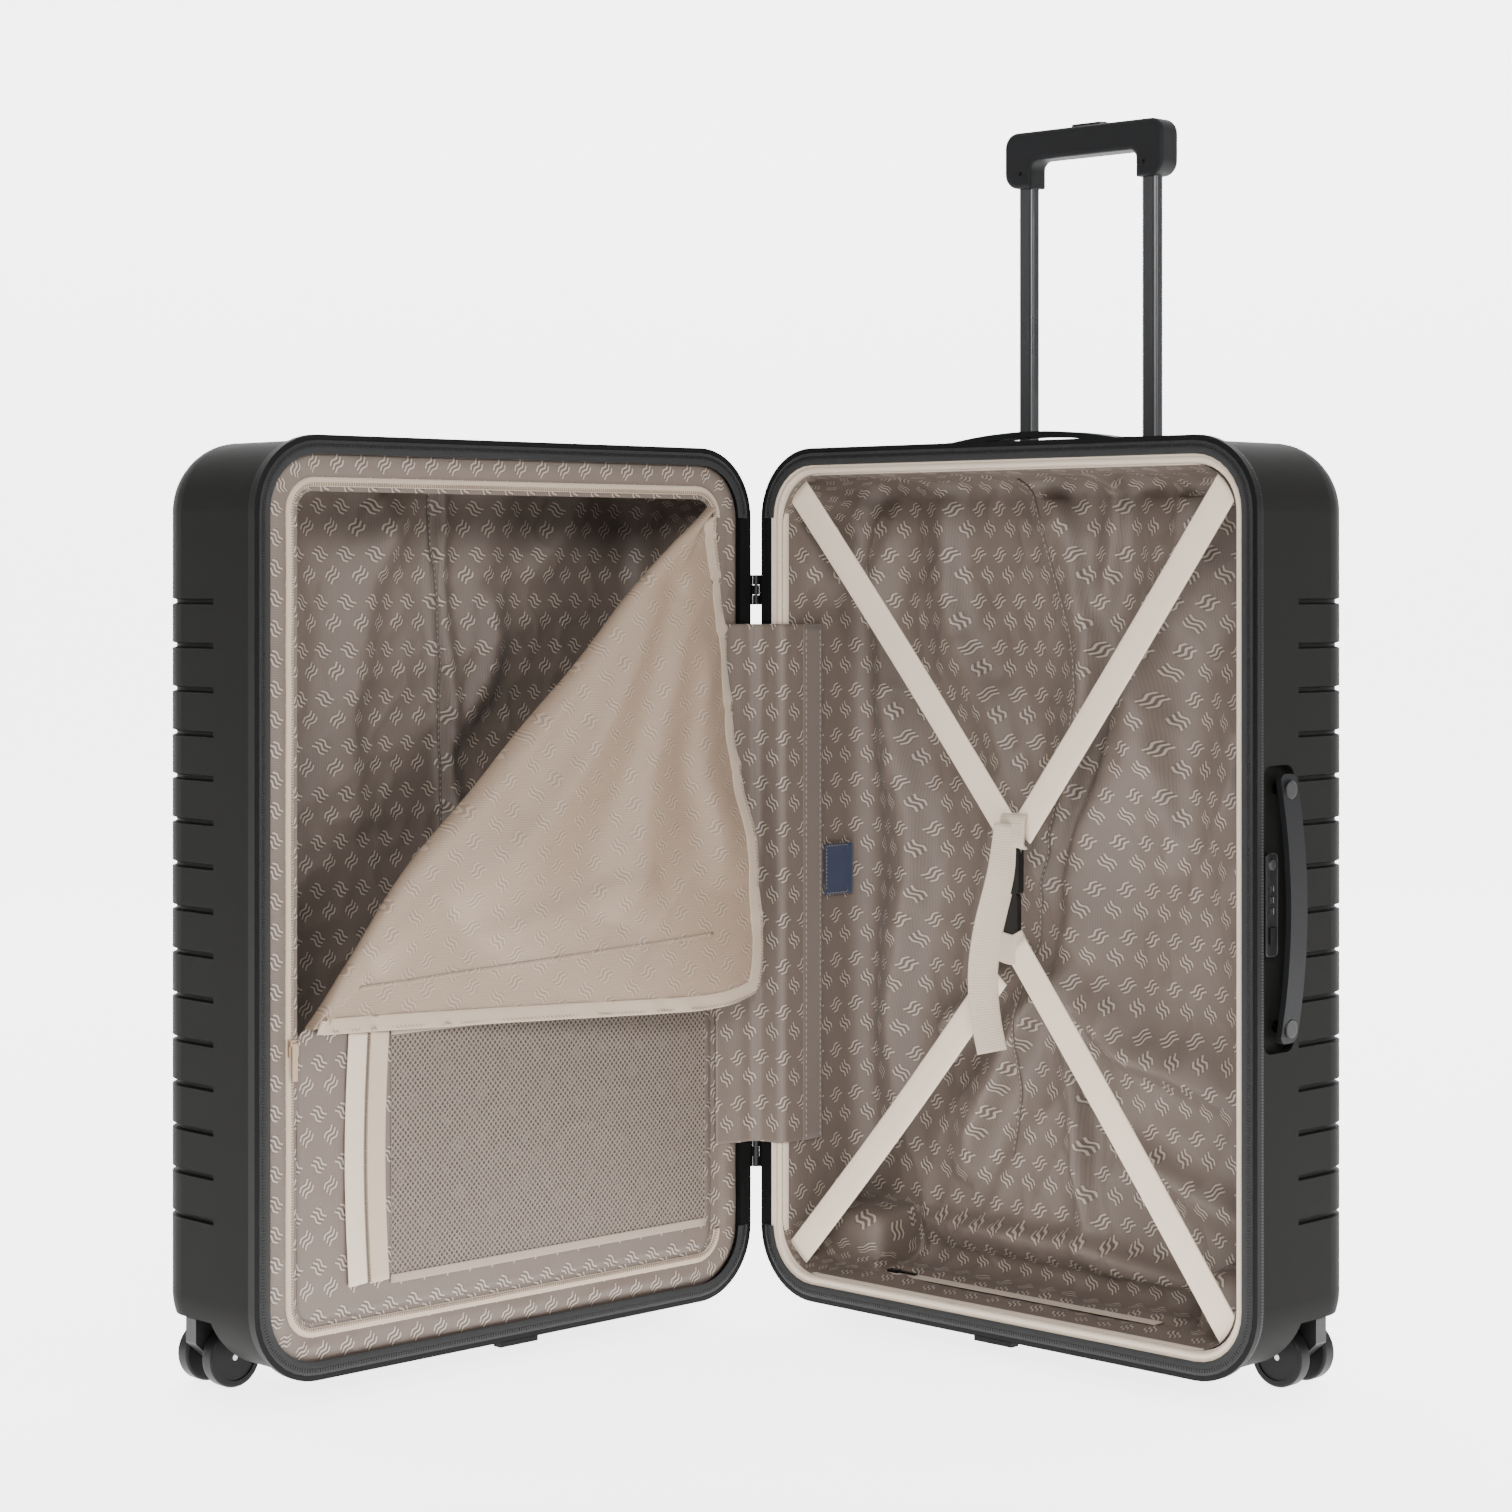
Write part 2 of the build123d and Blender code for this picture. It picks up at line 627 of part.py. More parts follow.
# ---- base fittings -------------------------------------------------------------------------------
def cross_straps():
    """Four webbing straps from the corners, the loop that gathers the upper two and the loose tail."""
    y_out, y_in = STRAP_DEPTHS
    low, high = STRAP_MEET
    left, right = HINGE_GAP + 42, HINGE_GAP + WIDTH - 40
    top, bottom = FLOOR_GAP + HEIGHT - 42, FLOOR_GAP + 42
    straps = [
        band((left, y_out, top), (MID_X - 18, y_in, high), STRAP_WIDTH, STRAP_THICK),
        band((right, y_out, top), (MID_X + 18, y_in, high), STRAP_WIDTH, STRAP_THICK),
        band((left, y_out, bottom), (MID_X - 18, y_in, low), STRAP_WIDTH, STRAP_THICK),
        band((right, y_out, bottom), (MID_X + 18, y_in, low), STRAP_WIDTH, STRAP_THICK),
    ]
    loop = block((MID_X - 13, MID_X + 13), (y_in + 3, y_in + 4.6), (low - 10, high + 14))
    tail = block((MID_X - 20, MID_X + 4), (y_in - 6.6, y_in - 5), (low - 76, high - 8))
    return straps + [loop, tail]


def buckle_body():
    y_in = STRAP_DEPTHS[1]
    body = block((MID_X - 12, MID_X + 12), (y_in - 4, y_in + 2.8), (386, 428))
    return fillet(body.edges().filter_by(Axis.Y), 3)


def buckle_clip():
    y_in = STRAP_DEPTHS[1]
    body = block((MID_X - 10, MID_X + 10), (y_in - 3, y_in + 2.2), (352, 385.9))
    return fillet(body.edges().filter_by(Axis.Y), 3)


def label():
    x = HINGE_GAP + BASE_LINING_INSET + CLOTH
    return block((x, x + 0.8), span(69, LABEL[0]), span(389, LABEL[1]))


def lining_zip():
    z = FLOOR_GAP + BASE_LINING_INSET + CLOTH
    return block(LINING_ZIP_X, span(LINING_ZIP_DEPTH, 12), (z, z + 1))


def lining_slider():
    z = FLOOR_GAP + BASE_LINING_INSET + CLOTH + 1 + SLACK
    body = block(span(LINING_ZIP_X[0] + 9, 11), span(LINING_ZIP_DEPTH, 7), (z, z + 2.4))
    pull = block(span(LINING_ZIP_X[0] + 24, 20), span(LINING_ZIP_DEPTH, 4), (z + 1, z + 2.2))
    return body + pull


# ---- lid fittings --------------------------------------------------------------------------------
def under_fold():
    """Everything on the pocket side of the fold, where the divider stays closed."""
    low, high = Vector(*FOLD_LOW), Vector(*FOLD_HIGH)
    run = (high - low).normalized() * 400
    start, end = low - run, high + run
    corners = [(start.X, start.Y), (end.X, end.Y), (end.X - 900, end.Y - 900), (0, -900), (900, -900)]
    area = make_face(Polyline(*corners, close=True))
    return extrude(Plane.XZ * area, amount=-60)


def divider_panel():
    return plate(BORDER_INNER, *DIVIDER) & under_fold()


def divider_zip():
    """Tape round the top, the outer side and the bottom of the divider."""
    tape = ring(TAPE_OUTER, BORDER_INNER, *DIVIDER_TAPE)
    return tape - block((0, HINGE_GAP + RIM_RADIUS), (0, 20), (FLOOR_GAP + 60, FLOOR_GAP + HEIGHT - 60))


def flap():
    """The divider's free corner, folded down over the closed part."""
    hinge_x = HINGE_GAP + BORDER_INNER + 1
    corners = [FOLD_LOW, FOLD_HIGH, (hinge_x, FOLD_HIGH[1] - 40), (hinge_x, FOLD_LOW[1] + 3)]
    area = make_face(Polyline(*corners, close=True))
    return extrude(Plane.XZ.offset(-FLAP[0]) * area, amount=-(FLAP[1] - FLAP[0]))


def mesh_pocket():
    return block(POCKET_X, (5.4, 6.2), POCKET_Z)


def pocket_zip():
    return block(POCKET_ZIP_X, (5.2, 6.4), POCKET_Z)


def slider_body():
    x, z = SLIDER
    y0, y1 = DIVIDER_TAPE[0] - SLACK - 2.4, DIVIDER_TAPE[0] - SLACK
    body = block(span(x, 9), (y0, y1), (z - 7, z + 6))
    for side in (-1, 1):
        body += block(span(x + side * 3.8, 1.4), (y0 - 1.7, y0), (z + 1.6, z + 5))
    return body - rod(0.6 + RUNNING, (x - 6, y0 - 0.9, z + 3.3), (x + 6, y0 - 0.9, z + 3.3))


def slider_pull():
    x, z = SLIDER
    y0 = DIVIDER_TAPE[0] - SLACK - 2.4
    pin = rod(0.6, (x - 4.5, y0 - 0.9, z + 3.3), (x + 4.5, y0 - 0.9, z + 3.3))
    return pin + block(span(x, 5.2), (y0 - 1.5, y0 - 0.4), (z - 26, z + 3.3))


# ---- assembly ------------------------------------------------------------------------------------
def base_pieces():
    skin = plain_shell()
    pieces = {
        "base_shell": base_shell(skin),
        "base_rim": rim(),
        "expander_band": band_behind_rim(),
        "base_zip": mouth_zip(),
        "base_piping": piping(),
        "base_lining": lining(BASE_LINING_INSET, BASE_LINING, LINING_RADIUS),
        "base_wheel_housings": wheel_housings(),
        "base_tab": bottom_tab(),
        "base_hinge_leaves": hinge_leaves(False),
        "hinge_pins": hinge_pins(),
        "hinge_cover_base": hinge_cover_base(),
        "handle_cup": handle_cup(),
        "outer_tubes": outer_tubes(),
        "inner_tubes": inner_tubes(),
        "grip": grip(),
        "grip_button": grip_button(),
        "side_strap": side_handle_plane() * handle_strap(),
        "side_posts": [side_handle_plane() * post for post in handle_posts()],
        "top_strap": top_handle_plane() * handle_strap(),
        "top_posts": [top_handle_plane() * post for post in handle_posts()],
        "lock_housing": lock_housing(),
        "lock_latch": latch(),
        "lock_key_core": key_core(),
        "cross_straps": cross_straps(),
        "buckle_body": buckle_body(),
        "buckle_clip": buckle_clip(),
        "label": label(),
        "lining_zip": lining_zip(),
        "lining_slider": lining_slider(),
    }
    for number, z in enumerate(dial_heights(), 1):
        pieces[f"lock_dial_{number}"] = dial(z)
    return pieces, skin


def lid_pieces(skin):
    return {
        "lid_shell": skin,
        "lid_rim": rim() + band_behind_rim(),
        "lid_zip": mouth_zip(),
        "lid_lining": lining(LID_LINING_INSET, LID_LINING, LINING_RADIUS + 6),
        "lid_wheel_housings": wheel_housings(),
        "lid_tab": bottom_tab(),
        "lid_hinge_leaves": hinge_leaves(True),
        "hinge_cover_lid": hinge_cover_lid(),
        "lid_border": ring(RIM_WIDTH + 0.2, BORDER_INNER, *DIVIDER),
        "divider_panel": divider_panel(),
        "divider_zip": divider_zip(),
        "divider_flap": flap(),
        "mesh_pocket": mesh_pocket(),
        "pocket_zip": pocket_zip(),
        "slider": slider_body(),
        "slider_pull": slider_pull(),
    }


def caster_pieces(place, half):
    pieces = {}
    for end, x in zip(("inner", "outer"), caster_centres()):
        for piece, shape in (("fork", fork(x)), ("axle", axle(x)), ("wheels", wheels(x))):
            pieces[f"{half}_{end}_{piece}"] = place_all(place, shape)
    return pieces


def place_all(place, shape):
    """Place one shape, or a list of separate solids as one group."""
    if isinstance(shape, list):
        return Compound(children=[place(item) for item in shape])
    return place(shape)


def assemble():
    base, skin = base_pieces()
    pieces = {name: place_all(place_base, shape) for name, shape in base.items()}
    for name, shape in lid_pieces(skin).items():
        pieces[name] = place_all(place_lid, shape)
    pieces.update(caster_pieces(place_base, "base"))
    pieces.update(caster_pieces(place_lid, "lid"))
    return pieces


def main():
    os.makedirs("parts", exist_ok=True)
    for name, shape in assemble().items():
        export_step(shape, f"parts/{name}.step")


if __name__ == "__main__":
    main()
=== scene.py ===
"""Looks of the open spinner suitcase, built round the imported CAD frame."""
import json
from math import cos, exp, hypot, pi, radians, sin, sqrt

import bmesh
import bpy
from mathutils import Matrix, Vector, noise
from mathutils.bvhtree import BVHTree


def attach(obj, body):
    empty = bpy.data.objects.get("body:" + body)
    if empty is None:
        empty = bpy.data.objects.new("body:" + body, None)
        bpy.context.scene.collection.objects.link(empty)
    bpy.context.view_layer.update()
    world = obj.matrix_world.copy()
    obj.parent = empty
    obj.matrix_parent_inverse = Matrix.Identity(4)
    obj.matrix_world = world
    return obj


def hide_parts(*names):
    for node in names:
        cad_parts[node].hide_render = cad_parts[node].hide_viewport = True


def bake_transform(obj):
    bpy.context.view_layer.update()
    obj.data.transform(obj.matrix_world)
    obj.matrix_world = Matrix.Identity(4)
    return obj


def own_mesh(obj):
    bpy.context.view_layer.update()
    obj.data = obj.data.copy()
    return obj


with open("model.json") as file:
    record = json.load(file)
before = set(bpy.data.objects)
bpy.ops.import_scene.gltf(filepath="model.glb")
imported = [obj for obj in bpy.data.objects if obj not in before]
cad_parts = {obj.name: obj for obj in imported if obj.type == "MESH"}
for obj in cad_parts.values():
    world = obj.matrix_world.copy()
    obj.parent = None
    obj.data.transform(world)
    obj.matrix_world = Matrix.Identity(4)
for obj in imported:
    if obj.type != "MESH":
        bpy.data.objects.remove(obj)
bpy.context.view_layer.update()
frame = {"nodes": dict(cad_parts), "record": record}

MM = 0.001
SHIFT_Y = frame["record"]["behaviour"]["joints"][0]["pos_m"][1] / MM
TURN = radians(44.0)
COS, SIN = cos(TURN), sin(TURN)

# outline of a half, in millimetres from the hinge axis and the floor
LEFT, RIGHT, BOTTOM, TOP = 5.0, 535.0, 20.0, 760.0
MID_X, MID_Z = (LEFT + RIGHT) / 2, (BOTTOM + TOP) / 2
RIM_RADIUS = 60.0


def base(x, y, z):
    """World point of a millimetre point in the base's own frame."""
    return Vector((x * COS + y * SIN, -x * SIN + y * COS + SHIFT_Y, z)) * MM


def lid(x, y, z):
    p = base(x, y, z)
    return Vector((-p.x, p.y, p.z))


def lid_normal():
    return Vector((-SIN, COS, 0))


# ---- materials ----
class Value:
    """Output of a shader node that can stand in a sum like a number."""

    def __init__(self, nodes, socket):
        self.nodes, self.socket = nodes, socket

    def __add__(self, other):
        return self.nodes.math("ADD", self, other)

    def __sub__(self, other):
        return self.nodes.math("SUBTRACT", self, other)

    def __rsub__(self, other):
        return self.nodes.math("SUBTRACT", other, self)

    def __mul__(self, other):
        return self.nodes.math("MULTIPLY", self, other)

    def __truediv__(self, other):
        return self.nodes.math("DIVIDE", self, other)

    def __pow__(self, other):
        return self.nodes.math("POWER", self, other)

    def __abs__(self):
        return self.nodes.math("ABSOLUTE", self)


class Nodes:
    """Short spelling for a material's node tree."""

    def __init__(self, name):
        self.material = bpy.data.materials.new(name)
        self.material.use_nodes = True
        self.tree = self.material.node_tree
        self.shader = self.tree.nodes["Principled BSDF"]

    def drive(self, node, inputs):
        """Link or set the named inputs of a node."""
        for key, value in inputs.items():
            if isinstance(value, Value):
                self.tree.links.new(value.socket, node.inputs[key])
            else:
                node.inputs[key].default_value = value

    def make(self, kind, output, inputs, **settings):
        """One output of a new node."""
        node = self.tree.nodes.new(kind)
        for key, value in settings.items():
            setattr(node, key, value)
        self.drive(node, inputs)
        return Value(self, node.outputs[output])

    def math(self, operation, a, b=0.0):
        return self.make("ShaderNodeMath", 0, {0: a, 1: b}, operation=operation)

    def wave(self, value, pitch):
        """Sine from 0 to 1, once every pitch."""
        return self.math("SINE", value * (2 * pi / pitch)) * 0.5 + 0.5

    def smooth(self, value, low, high):
        inputs = {"Value": value, "From Min": low, "From Max": high}
        return self.make("ShaderNodeMapRange", "Result", inputs, interpolation_type="SMOOTHSTEP")

    def mix(self, factor, a, b):
        return self.make("ShaderNodeMix", "Result", {"Factor": factor, "A": a, "B": b}, data_type="RGBA")

    def noise(self, coords, scale, detail=3.0, rough=0.5):
        inputs = {"Vector": coords, "Scale": scale, "Detail": detail, "Roughness": rough}
        return self.make("ShaderNodeTexNoise", "Fac", inputs)

    def part(self, vector, axis):
        return self.make("ShaderNodeSeparateXYZ", axis, {0: vector})

    def uv(self):
        """The UVs, whole and one by one; they are in millimetres."""
        uv = self.make("ShaderNodeUVMap", "UV", {}, uv_map="UVMap")
        return uv, self.part(uv, "X"), self.part(uv, "Y")

    def object(self):
        return self.make("ShaderNodeTexCoord", "Object", {})

    def bump(self, height, strength, distance):
        inputs = {"Strength": strength, "Distance": distance, "Height": height}
        self.drive(self.shader, {"Normal": self.make("ShaderNodeBump", "Normal", inputs)})

    def finish(self, color, rough, metallic=0.0, sheen=0.0, coat=0.0, specular=0.5):
        self.drive(self.shader, {
            "Base Color": color, "Roughness": rough, "Metallic": metallic, "Sheen Weight": sheen,
            "Sheen Roughness": 0.5, "Coat Weight": coat, "Specular IOR Level": specular})
        return self.material


def shade(color, factor):
    return tuple(min(1.0, c * factor) for c in color[:3]) + (1.0,)


def moulded(name, color, rough, grain_scale=900.0, grain=0.25, coat=0.0, specular=0.45):
    """Plastic with a fine moulded grain, faint blotches and slightly shinier worn patches."""
    n = Nodes(name)
    coords = n.object()
    grains = n.noise(coords, grain_scale, 2.0, 0.6)
    blotch = n.noise(coords, 7.0, 4.0, 0.6)
    scuff = n.smooth(n.noise(coords, 38.0, 6.0, 0.75), 0.62, 0.78)
    tone = n.mix(blotch, shade(color, 0.88), shade(color, 1.14))
    tone = n.mix(scuff * 0.3, tone, shade(color, 1.5))
    n.bump(grains, grain, 0.0002)
    return n.finish(tone, blotch * 0.14 + (rough - 0.07), coat=coat, specular=specular)


def metal(name, color, rough, metallic=1.0):
    """Drawn or anodised metal with streaks along its upright axis."""
    n = Nodes(name)
    stretch = {"Vector": n.object(), "Scale": (420.0, 420.0, 9.0)}
    streak = n.noise(n.make("ShaderNodeMapping", "Vector", stretch), 1.0, 4.0, 0.6)
    cloud = n.noise(n.object(), 14.0, 3.0)
    tone = n.mix(streak, shade(color, 0.85), shade(color, 1.12))
    n.bump(streak, 0.12, 0.0001)
    return n.finish(tone, cloud * 0.16 + (rough - 0.08), metallic=metallic)


def woven(name, color, pitch=(1.0, 1.0), contrast=0.22, rough=0.85, sheen=0.2, strength=0.5):
    """Plain woven cloth or webbing, with over and under bumps of the threads."""
    n = Nodes(name)
    uv, u, v = n.uv()
    across, along = (n.math("SINE", run * (2 * pi / gap)) for run, gap in zip((u, v), pitch))
    height = across * along * 0.5 + 0.5
    cloud = n.noise(uv, 0.035, 4.0, 0.6)
    fuzz = n.noise(uv, 2.2, 3.0, 0.7)
    tone = n.mix(height, shade(color, 1 - contrast), shade(color, 1 + contrast * 0.6))
    tone = n.mix(cloud * 0.5, tone, shade(color, 0.82))
    tone = n.mix(fuzz * 0.25, tone, shade(color, 1.25))
    n.bump(height + fuzz * 0.4, strength, 0.0004)
    return n.finish(tone, rough, sheen=sheen)


def ribbed(name, color, rib=2.2, rough=0.8, sheen=0.25):
    """Webbing with ribs across its length; U runs along it."""
    n = Nodes(name)
    uv, u, v = n.uv()
    height = n.wave(u, rib) * 0.7 + n.wave(v, 1.1) * 0.3
    tone = n.mix(height, shade(color, 0.8), shade(color, 1.06))
    tone = n.mix(n.noise(uv, 1.4, 3.0, 0.7) * 0.3, tone, shade(color, 0.9))
    n.bump(height, 0.5, 0.0005)
    return n.finish(tone, rough, sheen=sheen)


def jacquard(name, ground, stroke, turned=False, contrast=1.0, rough=0.6):
    """Ribbed cloth with staggered groups of three short bent strokes that lean each way in turn by rows."""
    n = Nodes(name)
    uv, u, v = n.uv()
    if turned:
        u, v = v, u
    row = n.math("FLOOR", v / ROW_PITCH)
    odd = n.math("FLOORED_MODULO", row, 2.0)
    lean = 1.0 - odd * 2.0
    column = n.math("FRACT", u / COLUMN_PITCH + odd * 0.5)
    cu = column * COLUMN_PITCH - COLUMN_PITCH / 2
    cv = v - row * ROW_PITCH - ROW_PITCH / 2 + odd * ROW_SHIFT
    across = (cu + cv * lean) * DIAGONAL
    along = (cv - cu * lean) * DIAGONAL
    bent = across + n.math("SINE", along * 0.72) * 0.8
    lines = n.smooth(n.math("COSINE", bent * (2 * pi / STROKE_PITCH)), -0.1, 0.5)
    reach = abs(bent / (STROKE_PITCH * 1.5)) ** 5.0 + abs(along / STROKE_REACH) ** 5.0
    inside = 1.0 - n.smooth(reach, 0.75, 1.0)
    motif = lines * inside
    shadow = (1.0 - lines) * inside
    thread = n.wave(u, 1.9) * 0.7 + n.wave(v, 0.9) * 0.3
    tone = n.mix(thread, shade(ground, 0.86), shade(ground, 1.12))
    tone = n.mix(n.noise(uv, 0.03, 3.0) * 0.5, tone, shade(ground, 0.88))
    tone = n.mix(shadow * contrast, tone, shade(ground, 0.66))
    tone = n.mix(motif * contrast, tone, stroke + (1.0,))
    n.bump(thread * 0.35 + motif, 0.55, 0.0005)
    return n.finish(tone, rough - motif * 0.16, sheen=0.04)


def netting(name, thread, painted_hole_shade):
    """Fine net: staggered round holes between soft threads, over clouded backing; the holes are painted dark,
    painted shade of the space behind the net.
    """
    n = Nodes(name)
    uv, u, v = n.uv()
    slope = v * 0.9
    a, b = (n.math("SINE", run * (pi / NET_PITCH)) for run in (u + slope, u - slope))
    opening = n.smooth(abs(a * b), 0.22, 0.55)
    strands = n.mix(n.noise(uv, 1.6, 3.0, 0.7), shade(thread, 0.84), shade(thread, 1.14))
    # the openings take the dark colour: painted shade seen through the net
    tone = n.mix(opening, strands, painted_hole_shade + (1.0,))
    tone = n.mix(n.noise(uv, 0.028, 3.0) * 0.5, tone, shade(thread, 0.62))
    n.drive(n.shader, {"Alpha": 1.0 - opening * 0.35})
    n.bump(1.0 - opening, 0.8, 0.0006)
    return n.finish(tone, 0.7, sheen=0.2)


# the woven motif and the net, in millimetres
ROW_PITCH, COLUMN_PITCH, ROW_SHIFT = 20.0, 23.5, 2.6
STROKE_PITCH, STROKE_REACH = 3.8, 6.6
DIAGONAL = 0.7071  # sine of the strokes' lean
NET_PITCH = 5.0

LINING = (0.124, 0.094, 0.076)
STROKE = (0.32, 0.26, 0.21)
CREAM = (0.68, 0.56, 0.43)
MATERIALS = {
    "shell": moulded("shell_plastic", (0.0085, 0.0085, 0.0078), 0.55, 1300.0, 0.35, specular=0.035),
    "housing": moulded("housing_plastic", (0.0090, 0.0090, 0.0084), 0.57, 1300.0, 0.35, specular=0.035),
    "rim": moulded("rim_plastic", (0.0045, 0.0045, 0.0045), 0.5, 700.0, 0.2, specular=0.1),
    "handle": moulded("soft_grip", (0.0085, 0.0088, 0.0095), 0.58, 800.0, 0.3, specular=0.12),
    "gloss": moulded("gloss_plastic", (0.005, 0.005, 0.005), 0.34, 500.0, 0.08, coat=0.1, specular=0.35),
    "wheel": moulded("wheel_tyre", (0.005, 0.005, 0.005), 0.45, 600.0, 0.15, specular=0.14),
    "fork": moulded("fork_plastic", (0.007, 0.007, 0.007), 0.45, 700.0, 0.2, specular=0.3),
    "tube": metal("dark_tube", (0.055, 0.056, 0.058), 0.3, metallic=0.7),
    "steel": metal("steel", (0.4, 0.4, 0.4), 0.3),
    "dark": metal("dark_metal", (0.03, 0.03, 0.03), 0.38),
    "slider": metal("slider_metal", (0.36, 0.26, 0.18), 0.38, metallic=0.6),
    "zip_black": woven("zip_black", (0.005, 0.005, 0.0055), (1.2, 1.2), 0.3, 0.8, 0.05),
    "teeth_black": moulded("teeth_black", (0.008, 0.008, 0.008), 0.35, 500.0, 0.05, specular=0.3),
    "teeth_tan": moulded("teeth_tan", (0.20, 0.15, 0.11), 0.45, 500.0, 0.1),
    "cover_edge": woven("cover_edge", LINING, (1.0, 1.0), 0.2),
    "lining": jacquard("lining_jacquard", LINING, STROKE),
    # second colour: painted shade seen through the net's holes
    "mesh": netting("mesh_cloth", (0.215, 0.163, 0.126), (0.035, 0.027, 0.021)),
    "beige": jacquard("flap_jacquard", (0.262, 0.188, 0.134), (0.37, 0.28, 0.21), True, 0.6, 0.5),
    "cream": ribbed("cream_webbing", (0.50, 0.41, 0.315)),
    "strap": woven("strap_webbing", CREAM, (1.5, 1.1), 0.1, 0.75, 0.2, 0.3),
    "piping": woven("piping_cloth", (0.58, 0.475, 0.37), (1.1, 1.1), 0.16),
    "tan": woven("tan_tape", (0.45, 0.35, 0.26), (1.1, 1.1), 0.18),
    "seam": woven("seam_tape", (0.31, 0.245, 0.19), (1.2, 1.2), 0.18),
    "flap_tape": woven("flap_tape", (0.40, 0.31, 0.23), (1.1, 1.1), 0.18),
    "seam_dark": woven("seam_dark", (0.085, 0.064, 0.05), (1.2, 1.2), 0.2),
    "thread": woven("thread", (0.33, 0.265, 0.205), (0.8, 0.8), 0.2),
    "navy": woven("navy_label", (0.006, 0.014, 0.05), (0.9, 0.9), 0.3, 0.7),
}


# ---- mesh helpers ----
def shade_smooth(mesh, smooth=True):
    for polygon in mesh.polygons:
        polygon.use_smooth = smooth


def make_mesh(name, verts, faces, uvs, material, body, smooth=True, replaces=(), slot=None):
    """verts are world points; uvs has one (u, v) in millimetres for each vertex."""
    mesh = bpy.data.meshes.new(name)
    mesh.from_pydata([tuple(v) for v in verts], [], faces)
    layer = mesh.uv_layers.new(name="UVMap")
    for loop in mesh.loops:
        layer.data[loop.index].uv = uvs[loop.vertex_index]
    mesh.materials.append(MATERIALS[material])
    shade_smooth(mesh, smooth)
    obj = bpy.data.objects.new(name, mesh)
    bpy.context.scene.collection.objects.link(obj)
    if body:
        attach(obj, body)
    if replaces:
        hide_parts(*replaces)
    return obj


def thicken(obj, thick):
    """Give a sheet its cloth thickness, applied to the mesh."""
    modifier = obj.modifiers.new("thick", "SOLIDIFY")
    modifier.thickness = thick * MM
    modifier.offset = 0.0
    evaluated = obj.evaluated_get(bpy.context.evaluated_depsgraph_get())
    mesh = bpy.data.meshes.new_from_object(evaluated)
    obj.modifiers.clear()
    obj.data = mesh
    shade_smooth(mesh)


def grid(columns, rows, point):
    """Sheet of columns x rows cells; point(i, j) gives (world point, uv)."""
    verts, uvs = [], []
    for j in range(rows + 1):
        for i in range(columns + 1):
            p, uv = point(i / columns, j / rows)
            verts.append(p)
            uvs.append(uv)
    faces = []
    for j in range(rows):
        for i in range(columns):
            a = j * (columns + 1) + i
            faces.append((a, a + 1, a + columns + 2, a + columns + 1))
    return verts, faces, uvs


def merge(parts):
    verts, faces, uvs = [], [], []
    for v, f, t in parts:
        offset = len(verts)
        verts.extend(v)
        uvs.extend(t)
        faces.extend(tuple(k + offset for k in face) for face in f)
    return verts, faces, uvs


def ridge(x, y, scale, seed):
    """Sharp creases between soft folds, from 0 to 1."""
    value = noise.noise(Vector((x * scale + seed * 7.3, y * scale - seed * 3.1, seed * 1.7)))
    return (1 - min(1.0, abs(value) * 3.2)) ** 2


def soft_noise(x, y, scale, seed):
    return noise.noise(Vector((x * scale + seed * 5.1, y * scale + seed * 2.3, seed * 0.9)))


def step(value, low, high):
    t = max(0.0, min(1.0, (value - low) / (high - low)))
    return t * t * (3 - 2 * t)


def span(a, b):
    return hypot(b[0] - a[0], b[1] - a[1])


def renumber(points):
    """Outline points with their run along the line worked out anew."""
    run, out = 0.0, []
    for k, p in enumerate(points):
        run += span(points[k - 1], p) if k else 0.0
        out.append((*p[:4], run))
    return out


def outline(inset, cuts=8, spacing=12.0):
    """Points (x, z, nx, nz, run) round the rim's outline, anticlockwise from the middle of the hinge side."""
    r = RIM_RADIUS - inset
    x0, x1, z0, z1 = LEFT + inset, RIGHT - inset, BOTTOM + inset, TOP - inset
    corners = [(x0 + r, z0 + r, pi), (x1 - r, z0 + r, 1.5 * pi), (x1 - r, z1 - r, 0),
               (x0 + r, z1 - r, 0.5 * pi)]
    points = []

    def straight(a, b, n):
        count = max(2, int(span(a, b) / spacing))
        for k in range(count):
            t = k / count
            points.append((a[0] + (b[0] - a[0]) * t, a[1] + (b[1] - a[1]) * t, *n))

    straight((x0, MID_Z), (x0, z0 + r), (-1, 0))
    ends = [((x0 + r, z0), (x1 - r, z0), (0, -1)), ((x1, z0 + r), (x1, z1 - r), (1, 0)),
            ((x1 - r, z1), (x0 + r, z1), (0, 1)), ((x0, z1 - r), (x0, MID_Z), (-1, 0))]
    for (cx, cz, start), end in zip(corners, ends):
        for k in range(cuts):
            a = start + pi / 2 * k / cuts
            points.append((cx + r * cos(a), cz + r * sin(a), cos(a), sin(a)))
        straight(*end)
    return renumber(points + points[:1])


def strip(path, profile, place, wave=None):
    """Sweep profile, a list of (inwards, depth) in mm, along outline points (x, z, nx, nz, run)."""
    verts, uvs = [], []
    across = [0.0]
    for a, b in zip(profile, profile[1:]):
        across.append(across[-1] + span(a, b))
    for x, z, nx, nz, run in path:
        for (inward, depth), w in zip(profile, across):
            lift = wave(run, w) if wave else 0.0
            verts.append(place(x - nx * inward, depth + lift, z - nz * inward))
            uvs.append((run, w))
    m = len(profile)
    faces = []
    for k in range(len(path) - 1):
        for j in range(m - 1):
            a = k * m + j
            faces.append((a, a + 1, a + m + 1, a + m))
    return verts, faces, uvs


def resample(path, pitch):
    """Evenly spaced (x, z, tangent x, tangent z) along outline points."""
    total, out, k, s = path[-1][4], [], 0, pitch / 2
    while s < total:
        while path[k + 1][4] < s:
            k += 1
        a, b = path[k], path[k + 1]
        t = (s - a[4]) / max(1e-9, b[4] - a[4])
        length = max(1e-9, span(a, b))
        out.append((a[0] + (b[0] - a[0]) * t, a[1] + (b[1] - a[1]) * t,
                    (b[0] - a[0]) / length, (b[1] - a[1]) / length))
        s += pitch
    return out


